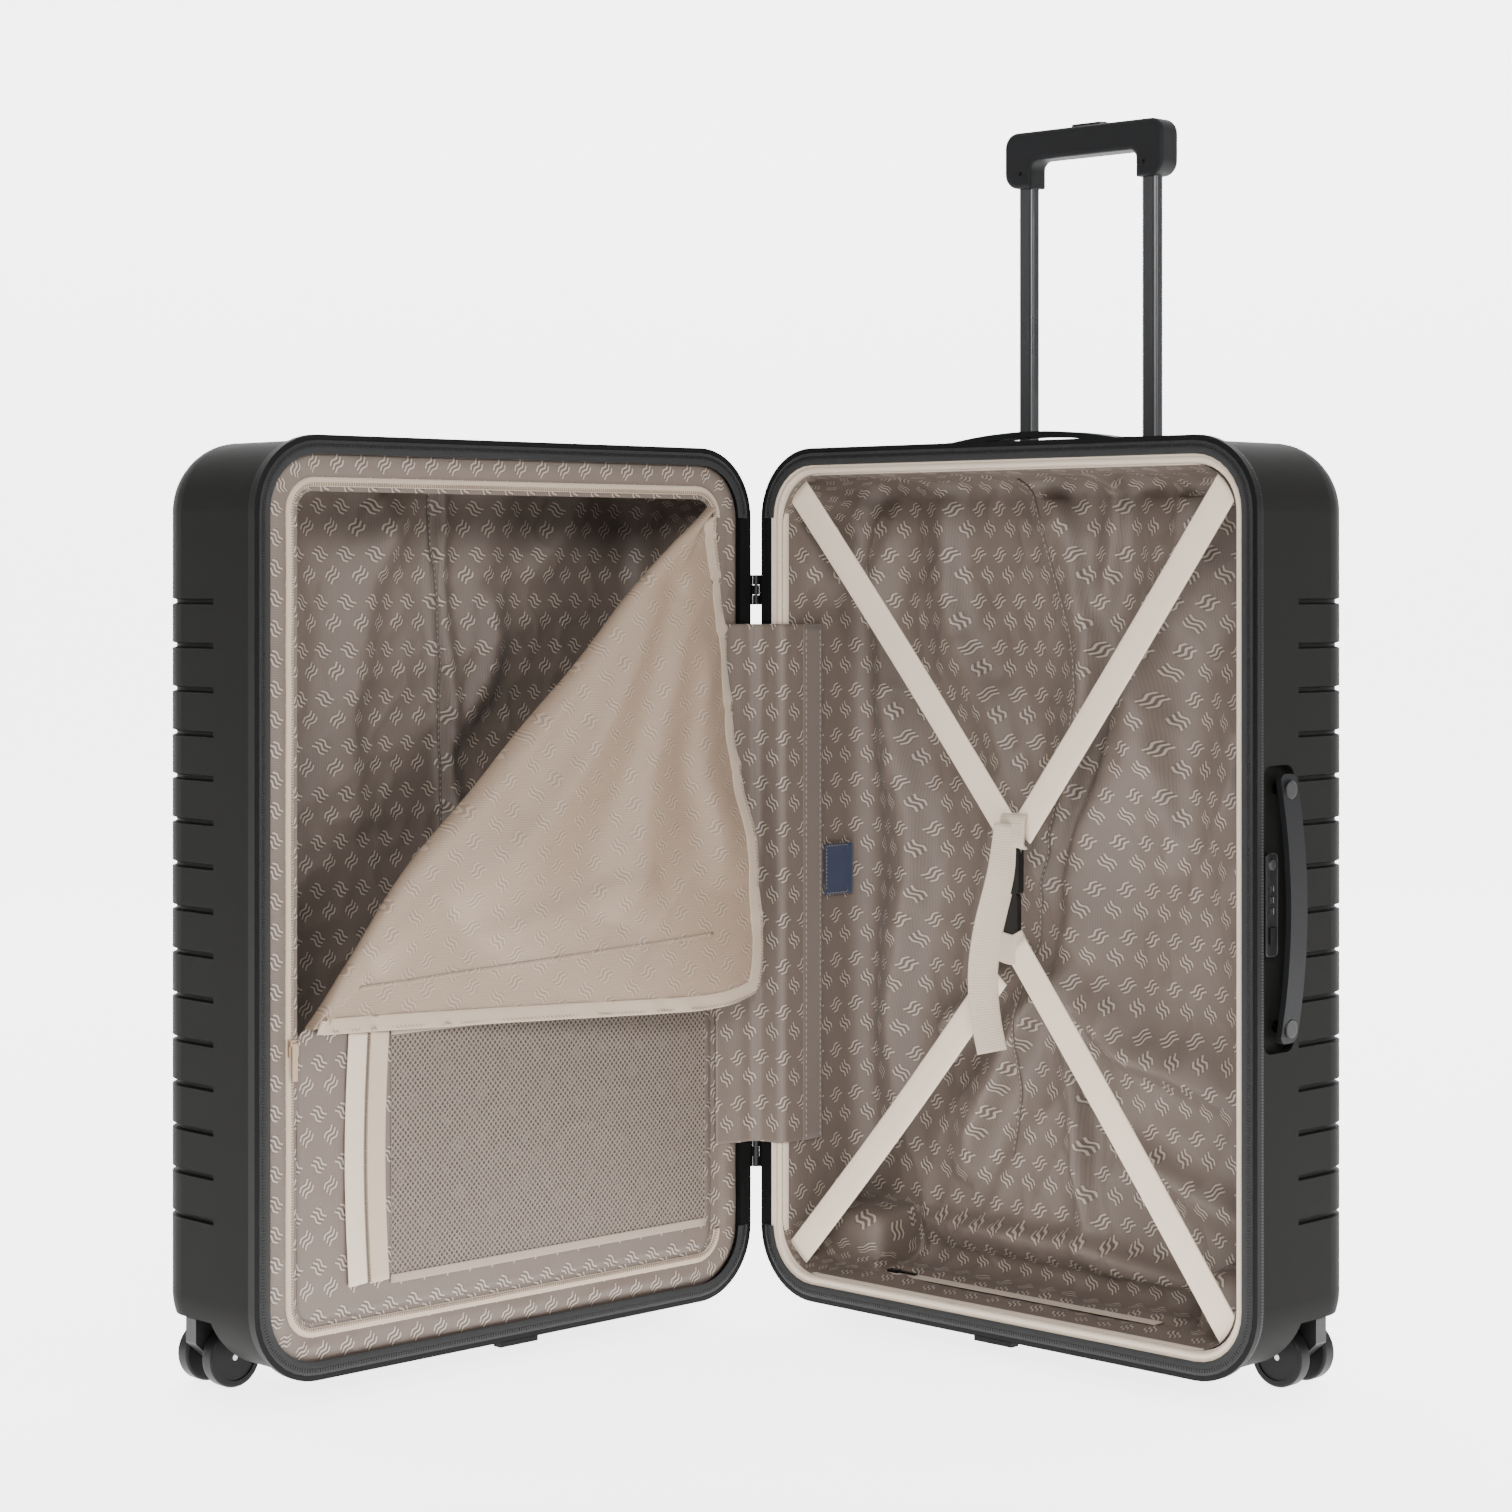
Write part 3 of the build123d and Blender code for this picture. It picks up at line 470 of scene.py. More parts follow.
def blocks(frames, size, taper=1.0):
    """A block (along, across, thick) at each (centre, along, across, up); taper narrows its lower side."""
    verts, faces, uvs = [], [], []
    long, wide, thick = (side / 2 * MM for side in size)
    for centre, along, across, up in frames:
        offset = len(verts)
        for level, share in ((1, 1.0), (-1, taper)):
            for a, b in ((-1, -1), (1, -1), (1, 1), (-1, 1)):
                flat = along * (a * long) + across * (b * wide)
                verts.append(centre + flat * share + up * (level * thick))
                uvs.append((a * size[0] / 2, b * size[1] / 2))
        for face in ((0, 1, 2, 3), (4, 7, 6, 5), (0, 4, 5, 1), (1, 5, 6, 2), (2, 6, 7, 3), (3, 7, 4, 0)):
            faces.append(tuple(offset + k for k in face))
    return verts, faces, uvs


def teeth(path, pitch, size, depth, place):
    """Row of small bevelled blocks along a path."""
    def way(x, y, z):
        return (place(x, y, z) - place(0, 0, 0)) / MM

    frames = [(place(x, depth, z), way(tx, 0, tz), way(-tz, 0, tx), way(0, 1, 0))
              for x, z, tx, tz in resample(path, pitch)]
    return blocks(frames, size, 0.72)


def ribbon(points, width, thick, name, material, body, side=None, **kwargs):
    """Flat webbing through world points; side gives the width direction at each point."""
    half, t = width / 2 * MM, thick / 2 * MM
    verts, uvs, run = [], [], 0.0
    profile = [(-1, -0.55), (-0.9, -1), (-0.3, -1), (0.3, -1), (0.9, -1), (1, -0.55),
               (1, 0.55), (0.9, 1), (0.3, 1), (-0.3, 1), (-0.9, 1), (-1, 0.55)]
    for k, p in enumerate(points):
        if k:
            run += (p - points[k - 1]).length / MM
        ahead = points[min(k + 1, len(points) - 1)] - points[max(k - 1, 0)]
        ahead.normalize()
        across = side[k] if isinstance(side, list) else side
        across = (across - ahead * across.dot(ahead)).normalized()
        up = ahead.cross(across)
        for a, b in profile:
            verts.append(p + across * (a * half) + up * (b * t))
            uvs.append((run, a * width / 2))
    m = len(profile)
    faces = []
    for k in range(len(points) - 1):
        for j in range(m):
            a, b = k * m + j, k * m + (j + 1) % m
            faces.append((a, b, b + m, a + m))
    faces.append(tuple(range(m))[::-1])
    faces.append(tuple((len(points) - 1) * m + j for j in range(m)))
    return make_mesh(name, verts, faces, uvs, material, body, **kwargs)


def curve_points(controls, count):
    """Catmull-Rom line through control points."""
    pts = [Vector(c) for c in controls]
    pts = [2 * pts[0] - pts[1]] + pts + [2 * pts[-1] - pts[-2]]
    out, spans = [], len(pts) - 3
    for k in range(count + 1):
        s = k / count * spans
        i = min(int(s), spans - 1)
        t = s - i
        a, b, c, d = pts[i:i + 4]
        out.append(0.5 * ((2 * b) + (c - a) * t + (2 * a - 5 * b + 4 * c - d) * t * t
                          + (3 * b - a - 3 * c + d) * t ** 3))
    return out


def stitches(points, normals, name, body, length=3.4, gap=2.0, radius=0.45, material="thread"):
    """Row of short raised thread runs along world points."""
    verts, faces, uvs = [], [], []
    lengths = [0.0]
    for a, b in zip(points, points[1:]):
        lengths.append(lengths[-1] + (b - a).length / MM)
    total, s, k = lengths[-1], 0.5, 0

    def at(run):
        nonlocal k
        while k < len(lengths) - 2 and lengths[k + 1] < run:
            k += 1
        t = (run - lengths[k]) / max(1e-9, lengths[k + 1] - lengths[k])
        return points[k].lerp(points[k + 1], t), normals[k].lerp(normals[k + 1], t)

    while s + length < total:
        offset = len(verts)
        (p0, n0), (p1, _) = at(s), at(s + length)
        along = (p1 - p0).normalized()
        cross = along.cross(n0).normalized()
        for j in range(5):
            t = j / 4
            bulge = sin(pi * t) ** 0.5
            centre = p0.lerp(p1, t) + n0 * radius * 0.5 * MM * bulge
            for q in range(6):
                a = 2 * pi * q / 6
                out = cross * cos(a) + n0 * sin(a) * 0.8
                verts.append(centre + out * radius * MM * (0.25 + 0.75 * bulge))
                uvs.append((s + t * length, q))
        for j in range(4):
            for q in range(6):
                a, b = offset + j * 6 + q, offset + j * 6 + (q + 1) % 6
                faces.append((a, b, b + 6, a + 6))
        s += length + gap
    return make_mesh(name, verts, faces, uvs, material, body)


# ---- carried-over CAD pieces ----
CORNERS = [f"{half}_{side}" for half in ("base", "lid") for side in ("inner", "outer")]
DIALS = [f"lock_dial_{number}" for number in (1, 2, 3)]
CAD_LOOKS = {
    "shell": ["base_shell", "lid_shell"],
    "housing": ["base_wheel_housings", "lid_wheel_housings"],
    "rim": ["base_rim", "lid_rim", "expander_band", "base_tab", "lid_tab", "handle_cup"],
    "handle": ["side_strap", "top_strap", "grip"],
    "gloss": ["lock_housing", "lock_latch", *DIALS, "buckle_body", "buckle_clip", "grip_button",
              "lining_slider"],
    "fork": [f"{corner}_fork" for corner in CORNERS],
    "wheel": [f"{corner}_wheels" for corner in CORNERS],
    "steel": [*(f"{corner}_axle" for corner in CORNERS), "lock_key_core", "hinge_pins"],
    "tube": ["inner_tubes", "outer_tubes"],
    "dark": ["base_hinge_leaves", "lid_hinge_leaves", "side_posts", "top_posts"],
    "slider": ["slider", "slider_pull"],
}
for look, names in CAD_LOOKS.items():
    for node_name in names:
        node = frame["nodes"][node_name]
        for holder in node.material_slots:
            holder.link = "OBJECT"
            holder.material = MATERIALS[look]

# edges rounded by so many millimetres
ROUNDED = {
    0.9: ["side_strap", "top_strap"],
    0.8: ["buckle_body", "buckle_clip", "base_tab", "lid_tab"],
    0.7: ["lock_latch", "base_rim", "lid_rim"],
    0.4: ["slider", "lining_slider", *DIALS],
    0.3: ["slider_pull"],
}
for size, names in ROUNDED.items():
    for node_name in names:
        soften = frame["nodes"][node_name].modifiers.new("soften", "BEVEL")
        soften.width = size * MM
        soften.segments = 3
        soften.limit_method = "ANGLE"
        soften.angle_limit = radians(35)


# ---- linings ----
def tray(name, place, body, inset, depth, back_radius, wrinkle, material, nx=120, nz=170, nr=46):
    """Cloth tray: one sheet that turns up from the back into the four walls."""
    corner = RIM_RADIUS - inset + 6
    x0, x1, z0, z1 = LEFT + inset, RIGHT - inset, BOTTOM + inset, TOP - inset
    mouth, back = depth
    core = (x0 + corner, x1 - corner, z0 + corner, z1 - corner)
    flat = corner - back_radius
    arc = back_radius * pi / 2
    wall = back - mouth - back_radius
    length = flat + arc + wall

    def profile(r):
        """(outwards, depth, normal outwards, normal depth) at a flat distance r from the core."""
        if r <= flat:
            return r, back, 0.0, 1.0
        if r <= flat + arc:
            a = (r - flat) / back_radius
            return flat + back_radius * sin(a), back - back_radius * (1 - cos(a)), sin(a), cos(a)
        return corner, back - back_radius - (r - flat - arc), 1.0, 0.0

    def surface(u, v, px, pz, dx, dz, r):
        out, y, n_out, n_back = profile(r)
        push = wrinkle(u, v, r / length)
        out -= push * n_out
        return px + dx * out, y - push * n_back, pz + dz * out

    xs = [core[0] + (core[1] - core[0]) * i / nx for i in range(nx + 1)]
    zs = [core[2] + (core[3] - core[2]) * j / nz for j in range(nz + 1)]

    def centre(i, j):
        x = core[0] + (core[1] - core[0]) * i
        z = core[2] + (core[3] - core[2]) * j
        return surface(x, z, x, z, 0, 0, 0), (x, z)

    parts = [grid(nx, nz, centre)]
    sides = [([(x, core[2]) for x in xs], (0, -1)), ([(core[1], z) for z in zs], (1, 0)),
             ([(x, core[3]) for x in reversed(xs)], (0, 1)), ([(core[0], z) for z in reversed(zs)], (-1, 0))]
    corners = [(core[1], core[2], 1.5 * pi), (core[1], core[3], 0.0), (core[0], core[3], 0.5 * pi),
               (core[0], core[2], pi)]
    turns = 14
    for (line, direction), (cx, cz, start) in zip(sides, corners):
        spokes = [(px, pz, *direction) for px, pz in line]
        spokes += [(cx, cz, cos(start + pi / 2 * k / turns), sin(start + pi / 2 * k / turns))
                   for k in range(1, turns + 1)]
        count = len(spokes) - 1

        def side_point(i, j, spokes=spokes, count=count):
            px, pz, dx, dz = spokes[round(i * count)]
            r = j * length
            u, v = px + dx * r, pz + dz * r
            return surface(u, v, px, pz, dx, dz, r), (u, v)

        parts.append(grid(count, nr, side_point))
    verts, faces, uvs = merge(parts)
    verts = step_over_housings(verts)
    near_housing = [abs(x - MID_X) > 166 and z < 125 and y > 22 for x, y, z in verts]
    obj = make_mesh(name, [place(*v) for v in verts], faces, uvs, material, body)
    relax(obj, near_housing)
    weld(obj)
    return obj


def relax(obj, chosen, rounds=7):
    """Soften the chosen points so that folded-in corners turn round."""
    bm = bmesh.new()
    bm.from_mesh(obj.data)
    bm.verts.ensure_lookup_table()
    verts = [bm.verts[k] for k, wanted in enumerate(chosen) if wanted and not bm.verts[k].is_boundary]
    for _ in range(rounds):
        bmesh.ops.smooth_vert(bm, verts=verts, factor=0.5, use_axis_x=True, use_axis_y=True, use_axis_z=True)
    bm.to_mesh(obj.data)
    bm.free()


def weld(obj, distance=0.00005):
    bm = bmesh.new()
    bm.from_mesh(obj.data)
    bmesh.ops.remove_doubles(bm, verts=bm.verts, dist=distance)
    bmesh.ops.recalc_face_normals(bm, faces=bm.faces)
    bm.to_mesh(obj.data)
    bm.free()
    shade_smooth(obj.data)


def step_over_housings(verts):
    """Push the cloth out of the boxes over the two wheel housings, away from the shell's corners."""
    front, back, floor, top = 49.0, 146.0, 20.0, 95.0
    out = []
    for x, y, z in verts:
        corner, limit = (LEFT - 12, 100.0) if x < MID_X else (RIGHT + 12, 440.0)
        if (x - limit) * (corner - limit) > 0 and y > front and z < top:
            t = min((limit - corner) / (x - corner), (front - back) / (y - back), (top - floor) / (z - floor))
            x, y, z = corner + (x - corner) * t, back + (y - back) * t, floor + (z - floor) * t
        out.append((x, y, z))
    return out


def fold_height(u, v, folds):
    """Sum of folds; each is (points, width on its left, width on its right, height)."""
    total = 0.0
    for points, left, right, height in folds:
        wide = max(left, right) * 2.4
        best, best_side, best_t = wide, 1.0, 0.0
        count = len(points) - 1
        for k in range(count):
            (ax, ay), (bx, by) = points[k], points[k + 1]
            dx, dy = bx - ax, by - ay
            t = max(0.0, min(1.0, ((u - ax) * dx + (v - ay) * dy) / (dx * dx + dy * dy)))
            ex, ey = u - ax - dx * t, v - ay - dy * t
            d = hypot(ex, ey)
            if d < best:
                best, best_t = d, (k + t) / count
                best_side = dx * ey - dy * ex
        if best < wide:
            width = left if best_side > 0 else right
            total += height * exp(-(best / width) ** 2) * (1 - abs(2 * best_t - 1) ** 4)
    return total


BASE_FOLDS = [
    ([(66, 720), (50, 610), (96, 450), (100, 380), (74, 280), (60, 150)], 16, 36, 15),
    ([(232, 770), (270, 680), (294, 600), (284, 500), (250, 374)], 9, 30, 14),
    ([(410, 760), (398, 640), (352, 550), (300, 436), (258, 300)], 34, 17, 20),
    ([(362, 720), (380, 640), (366, 520), (376, 400)], 14, 26, 12),
    ([(266, 330), (205, 230), (150, 120)], 12, 26, 15),
    ([(262, 320), (284, 200), (300, 70)], 9, 15, 13),
    ([(250, 310), (330, 256), (452, 214)], 24, 14, 14),
    ([(470, 640), (440, 480), (470, 300), (456, 160)], 16, 26, 11),
    ([(120, 760), (150, 600), (232, 440), (256, 330)], 12, 30, 12),
    ([(120, 250), (180, 300), (250, 330)], 12, 18, 9),
    ([(330, 180), (390, 150), (470, 110)], 12, 20, 9),
    ([(190, 560), (232, 500), (262, 420)], 10, 16, 6),
    ([(330, 780), (322, 690), (300, 610)], 8, 18, 8),
    ([(-20, 700), (20, 560), (8, 380)], 12, 18, 7),
    ([(520, 660), (560, 520), (530, 380)], 14, 20, 7),
    ([(100, 84), (200, 92), (320, 84), (430, 66)], 7, 24, 13),
]
LID_FOLDS = [
    ([(262, 820), (250, 690), (246, 560), (240, 430), (236, 300)], 7, 12, 8),
    ([(150, 820), (196, 700), (214, 600), (240, 520)], 18, 30, 6),
    ([(262, 760), (320, 660), (352, 540), (330, 430)], 28, 18, 9),
    ([(60, 760), (110, 700), (160, 640)], 14, 24, 6),
    ([(420, 780), (440, 680), (410, 590), (430, 520)], 14, 28, 9),
    ([(480, 740), (500, 650), (486, 560)], 12, 24, 7),
    ([(190, 640), (206, 560), (240, 500)], 10, 18, 7),
    ([(330, 800), (330, 720), (300, 640)], 12, 20, 6),
]


def base_wrinkle(u, v, t):
    """Slack lining of the base: long folds across its back that fade towards the piping."""
    slack = 1 - step(t, 0.72, 1.0)
    warp = 26 * soft_noise(u, v, 0.008, 3)
    long = ridge(u - 0.55 * v + warp, (v + u * 0.5) * 0.22, 0.0115, 1)
    cross = ridge(u * 0.8 + v * 0.6 + warp, (v - u) * 0.3, 0.013, 5)
    small = ridge(u + 0.3 * v, v * 0.6, 0.034, 9)
    broad = 0.5 + 0.5 * soft_noise(u, v, 0.006, 12)
    du, dv = 9 * soft_noise(u, v, 0.014, 15), 9 * soft_noise(u, v, 0.014, 17)
    folds = fold_height(u + du, v + dv, BASE_FOLDS)
    beside_cover = step(v, 120, 150) * (1 - step(v, 615, 650))
    cover_calm = 1 - 0.97 * (1 - step(u, 22, 80)) * beside_cover
    zip_calm = 1 - 0.9 * step(v, -22, -10) * (1 - step(v, 2, 12)) * step(u, 70, 90) * (1 - step(u, 420, 440))
    creases = 5.0 * long * broad + 3.5 * cross * (1 - broad * 0.5) + 1.7 * small + 4.0 * broad
    return zip_calm * cover_calm * slack * (1.7 * folds + creases)


def lid_wrinkle(u, v, t):
    """Softer folds of the lid's lining, seen in the gap behind the flap."""
    slack = 1 - step(t, 0.75, 1.0)
    warp = 20 * soft_noise(u, v, 0.009, 23)
    long = ridge(u * 0.35 + v + warp, u * 0.2, 0.010, 21)
    small = ridge(u, v, 0.03, 29)
    broad = 0.5 + 0.5 * soft_noise(u, v, 0.007, 31)
    du, dv = 9 * soft_noise(u, v, 0.014, 33), 9 * soft_noise(u, v, 0.014, 35)
    folds = fold_height(u + du, v + dv, LID_FOLDS)
    return slack * (1.6 * folds + 3.5 * long * broad + 1.6 * small + 3.0 * broad)


base_lining = tray("base_lining_cloth", base, "base", 22.4, (5.0, 111.6), 24.0, base_wrinkle, "lining")
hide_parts("base_lining")
lid_lining = tray("lid_lining_cloth", lid, "lid", 14.4, (8.8, 137.4), 28.0, lid_wrinkle, "lining")
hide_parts("lid_lining")


def on_cloth(cloth, place, line, count, lift=0.7):
    """Points on the cloth behind (x, z) line points, with the way out of the cloth at each."""
    mesh = cloth.data
    tree = BVHTree.FromPolygons([v.co for v in mesh.vertices], [tuple(f.vertices) for f in mesh.polygons])
    into = (place(0, 1, 0) - place(0, 0, 0)).normalized()
    points, normals = [], []
    for p in curve_points([(x, z, 0) for x, z in line], count):
        spot, normal, _, _ = tree.ray_cast(place(p.x, 1.0, p.y), into)
        normal = normal if normal.dot(into) < 0 else -normal
        points.append(spot + normal * lift * MM)
        normals.append(normal)
    return points, normals


# stitched seams that run up the slack linings
SEAM_LINES = (
    ("base", base, base_lining, [(234, 732), (256, 665), (276, 612), (288, 561), (280, 511), (262, 440),
                                 (240, 340), (216, 225), (207, 150)]),
    ("lid", lid, lid_lining, [(264, 722), (257, 640), (253, 560), (249, 480), (245, 395)]),
)
for half, place, cloth, line in SEAM_LINES:
    points, normals = on_cloth(cloth, place, line, 150)
    across = place(1, 0, 0) - place(0, 0, 0)
    ribbon(points, 2.6, 1.1, f"{half}_lining_seam", "seam_dark", half, side=across, slot="lining")
    stitches([p + n * 0.5 * MM for p, n in zip(points, normals)], normals, f"{half}_lining_stitches", half)

# ---- zips at the mouths ----
MOUTH_TAPE, MOUTH_TEETH, BAND_TEETH = 4.4, 8.0, 1.35  # how far in from the outline
MOUTH_GAP = (85.0, 695.0)  # heights between which the hinge side has no zip
MOUTH_PROFILE = [(0, 1.55), (0.4, 1.0), (4.8, 1.0), (5.4, 0.86), (6.0, 1.0), (10.2, 1.0), (10.6, 1.55)]


def three_sides(inset, gap):
    """Outline points without the hinge side between the two heights of the gap."""
    low, high = gap
    return renumber([p for p in outline(inset) if not (p[0] < LEFT + 40 and low < p[1] < high)])


for half, place in (("base", base), ("lid", lid)):
    tape = strip(three_sides(MOUTH_TAPE, MOUTH_GAP), MOUTH_PROFILE, place)
    make_mesh(f"{half}_zip_tape", *tape, "zip_black", half, replaces=(f"{half}_zip",), slot="zip_black")
    rows = teeth(three_sides(MOUTH_TEETH, MOUTH_GAP), 2.5, (1.5, 3.4, 0.8), 0.85, place)
    make_mesh(f"{half}_zip_teeth", *rows, "teeth_black", half, smooth=False, slot="zip_black")

# second zip of the expanding band, seen round the outside of the base's rim
rows = teeth(outline(BAND_TEETH), 2.5, (1.5, 0.7, 2.6), 9.5, base)
make_mesh("expander_teeth", *rows, "teeth_black", "base", smooth=False, slot="rim")

# ---- piping ----
cord_profile = [(3.0 * cos(a), 5.5 + 3.0 * sin(a)) for a in (2 * pi * k / 14 for k in range(15))]
cord = make_mesh("piping_cord", *strip(outline(18.9), cord_profile, base), "piping", "base",
                 replaces=("base_piping",), slot="cream")
weld(cord)
for name, inset, profile in (("binding", 11.9, [(0, 2.0), (1.5, 2.4), (3.6, 3.0), (5.0, 4.0)]),
                             ("flange", 21.0, [(0, 5.0), (1.2, 5.4), (2.2, 6.6), (2.3, 12.0)])):
    make_mesh(f"piping_{name}", *strip(outline(inset), profile, base), "piping", "base", slot="cream")

# ---- divider of the lid ----
BORDER, DIVIDER_TAPE, DIVIDER_TEETH, PANEL = 12.3, 33.0, 38.5, 43.6  # how far in from the outline
DIVIDER_GAP = (80.0, 700.0)
FOLD_LOW, FOLD_HIGH = (483.0, 295.0), (52.0, 708.0)  # ends of the line where the cloth folds over


def border_wave(run, w):
    pull = sin(pi * min(1.0, w / 22.0))
    return -pull * (1.6 + 1.2 * soft_noise(run, w * 3, 0.03, 41) + 1.5 * ridge(run, w * 2, 0.02, 43))


def tape_wave(run, w):
    return 0.5 * soft_noise(run, w, 0.02, 51)


border_profile = [(0, 8.3), (1.0, 7.4), (3, 7.0), (6, 6.8), (9, 6.7), (12, 6.7), (15, 6.7), (18, 6.8),
                  (21, 7.0), (24, 7.0), (28, 7.0), (32, 7.1)]
border = strip(outline(BORDER, 14, 5.0), border_profile, lid, border_wave)
make_mesh("divider_border", *border, "lining", "lid", replaces=("lid_border",), slot="lining")
tape_profile = [(0, 6.6), (0.6, 5.6), (2.0, 5.2), (4.0, 4.9), (5.4, 4.8), (6.6, 5.3), (7.6, 6.4)]
tape = strip(three_sides(DIVIDER_TAPE, DIVIDER_GAP), tape_profile, lid, tape_wave)
make_mesh("divider_zip_tape", *tape, "tan", "lid", replaces=("divider_zip",), slot="tan_tape")
rows = teeth(three_sides(DIVIDER_TEETH, DIVIDER_GAP), 2.3, (1.4, 3.0, 0.8), 4.7, lid)
make_mesh("divider_zip_teeth", *rows, "teeth_tan", "lid", smooth=False, slot="tan_tape")


def fold_x(z):
    """Where the fold crosses height z."""
    t = (z - FOLD_LOW[1]) / (FOLD_HIGH[1] - FOLD_LOW[1])
    return FOLD_LOW[0] + (FOLD_HIGH[0] - FOLD_LOW[0]) * t


def panel_limits(z):
    """Left and right edge of the divider's cloth at height z."""
    r = RIM_RADIUS - PANEL
    low, high = LEFT + PANEL, RIGHT - PANEL
    z_low, z_high = BOTTOM + PANEL, TOP - PANEL
    edge = min(z - z_low, z_high - z)
    pull = r - sqrt(max(0.0, r * r - (r - edge) ** 2)) if edge < r else 0.0
    return low + pull, min(high - pull, fold_x(z) if z > FOLD_LOW[1] else high)


def panel_point(i, j):
    z = BOTTOM + 44.0 + (FOLD_HIGH[1] - BOTTOM - 46.0) * j
    low, high = panel_limits(z)
    x = low + (max(high, low + 0.5) - low) * i
    y = 7.3 + 1.0 * soft_noise(x, z, 0.012, 61) - 1.2 * ridge(x, z, 0.02, 63) * (1 - step(z, 60, 100) * 0.3)
    return lid(x, y, z), (x, z)


panel = make_mesh("divider_cloth", *grid(70, 100, panel_point), "lining", "lid", replaces=("divider_panel",),
                  slot="lining")
thicken(panel, 0.6)


def mesh_point(i, j):
    """Mesh pocket, slack in its middle."""
    x, z = 56.5 + 343.0 * i, 88.5 + 199.0 * j
    belly = sin(pi * i) * sin(pi * min(1.0, j * 0.96))
    y = 5.9 - 1.9 * belly + 0.9 * soft_noise(x, z, 0.016, 71) * belly - 0.9 * ridge(x, z, 0.018, 73) * belly
    return lid(x, max(y, 1.6), z), (x, z)


make_mesh("mesh_pocket_cloth", *grid(110, 70, mesh_point), "mesh", "lid", replaces=("mesh_pocket",),
          slot="mesh")
upright = Vector((0, 0, 1))
shares = [k / 40 for k in range(41)]
hem_points = [lid(56 + 344 * t, 4.6 - 0.8 * sin(pi * t), 289.0) for t in shares]
ribbon(hem_points, 12, 1.0, "mesh_hem", "seam", "lid", side=upright, slot="lining")
foot_points = [lid(56 + 344 * t, 5.4, 88.0) for t in shares]
ribbon(foot_points, 7, 0.9, "mesh_foot", "seam", "lid", side=upright, slot="lining")


def pocket_zip_line(x):
    """Points (x, z, run) of the upright zip beside the pocket, which bows away from the hinge."""
    return [(x + 4.0 * sin(pi * t), 88 + 201 * t, 201 * t) for t in shares]


lid_across = Vector((-COS, -SIN, 0))
for tape_name, x_mid, material in (("inner", 411.5, "tan"), ("outer", 432.5, "piping")):
    points = [lid(x, 5.0, z) for x, z, _ in pocket_zip_line(x_mid)]
    ribbon(points, 19.0, 0.9, f"pocket_zip_{tape_name}", material, "lid", side=lid_across, slot="tan_tape",
           replaces=("pocket_zip",) if tape_name == "inner" else ())
rows = teeth([(x, z, 1, 0, run) for x, z, run in pocket_zip_line(422.0)], 2.2, (1.4, 4.2, 1.0), 4.2, lid)
make_mesh("pocket_zip_teeth", *rows, "teeth_tan", "lid", smooth=False, slot="tan_tape")

# ---- the folded flap ----
A, B = Vector(FOLD_LOW), Vector(FOLD_HIGH)
FOLD_OUT = Vector((B.y - A.y, A.x - B.x)).normalized()
FREE = Vector((52.0, 284.0))  # corner of the flap that hangs free
FREE_LIFT = 50.0
SPLIT = 0.47  # share of the fold opposite the flap's bottom edge
ROLL = 0.045  # share of the flap that turns round the fold
FLAP_FOLDS = [
    ([(128, 650), (200, 520), (280, 430), (340, 372)], 22, 44, 15),
    ([(66, 690), (112, 560), (160, 450), (196, 360)], 20, 36, 12),
    ([(72, 600), (90, 480), (84, 380)], 14, 26, 9),
    ([(300, 470), (360, 400), (430, 345)], 14, 26, 9),
    ([(150, 400), (240, 372), (330, 352)], 12, 22, 6),
]


def fold_bow(s):
    """How far the rolled fold bulges over the straight line between its ends."""
    bulges = ((16, 0.26, 0.15), (13, 0.52, 0.17), (9, 0.8, 0.13))
    return sum(height * exp(-((s - middle) / width) ** 2) for height, middle, width in bulges)


def flap_plan(s, t):
    """Plan point: s runs up the fold from its low end, t from the fold to the free edges."""
    fold = A.lerp(B, s)
    if s <= SPLIT:
        edge = A.lerp(FREE, s / SPLIT)
    else:
        edge = FREE.lerp(B, (s - SPLIT) / (1 - SPLIT))
    round_off = max(0.0, 1 - abs(s - SPLIT) / 0.09)
    edge = edge + (A.lerp(B, SPLIT) - FREE).normalized() * 16 * round_off ** 2
    return fold.lerp(edge, t) + FOLD_OUT * fold_bow(s) * (1 - step(t, 0.0, 0.5))


def flap_depth(x, z, t):
    """How far the flap stands out of the lid, growing towards its free corner."""
    gap = (Vector((x, z)) - FREE).length
    lift = FREE_LIFT * (1 - step(gap, 0, 440)) ** 1.25
    puff = 7.5 * (1 - step(t, ROLL, 0.32))
    waves = 3.2 * soft_noise(x, z, 0.0105, 81) * step(t, 0.05, 0.4)
    small = 1.3 * ridge(x * 0.6 + z * 0.8, x * 0.3, 0.022, 83) * step(t, 0.1, 0.5)
    folds = fold_height(x + 8 * soft_noise(x, z, 0.013, 85), z, FLAP_FOLDS) * step(t, 0.02, 0.2)
    edge = 2.0 * soft_noise(x, z, 0.03, 87) * step(t, 0.8, 1.0)
    return 3.4 - lift - puff - waves - small - folds - edge


def flap_point(s, t):
    plan = flap_plan(s, t)
    y = min(4.0, flap_depth(plan.x, plan.y, t))
    if t < ROLL:
        turn = pi * (t / ROLL)
        taper = min(1.0, 12 * s, 12 * (1 - s))
        plan = plan + FOLD_OUT * 5.0 * sin(turn) * taper
        y = 7.0 + (y - 7.0) * (1 - cos(turn)) / 2
    x = plan.x - 0.30 * max(0.0, -y) * step(t, 0.4, 1.0)
    return lid(x, y, plan.y), (plan.x, plan.y)


flap = make_mesh("flap_cloth", *grid(150, 132, flap_point), "beige", None)


def normals_of(points, other):
    """Unit normals of the flap from each edge point and its neighbour inside."""
    out = []
    for k, p in enumerate(points):
        ahead = points[min(k + 1, len(points) - 1)] - points[max(0, k - 1)]
        inward = other[k] - p
        n = ahead.cross(inward)
        if n.dot(lid_normal()) > 0:
            n = -n
        out.append(n.normalized())
    return out


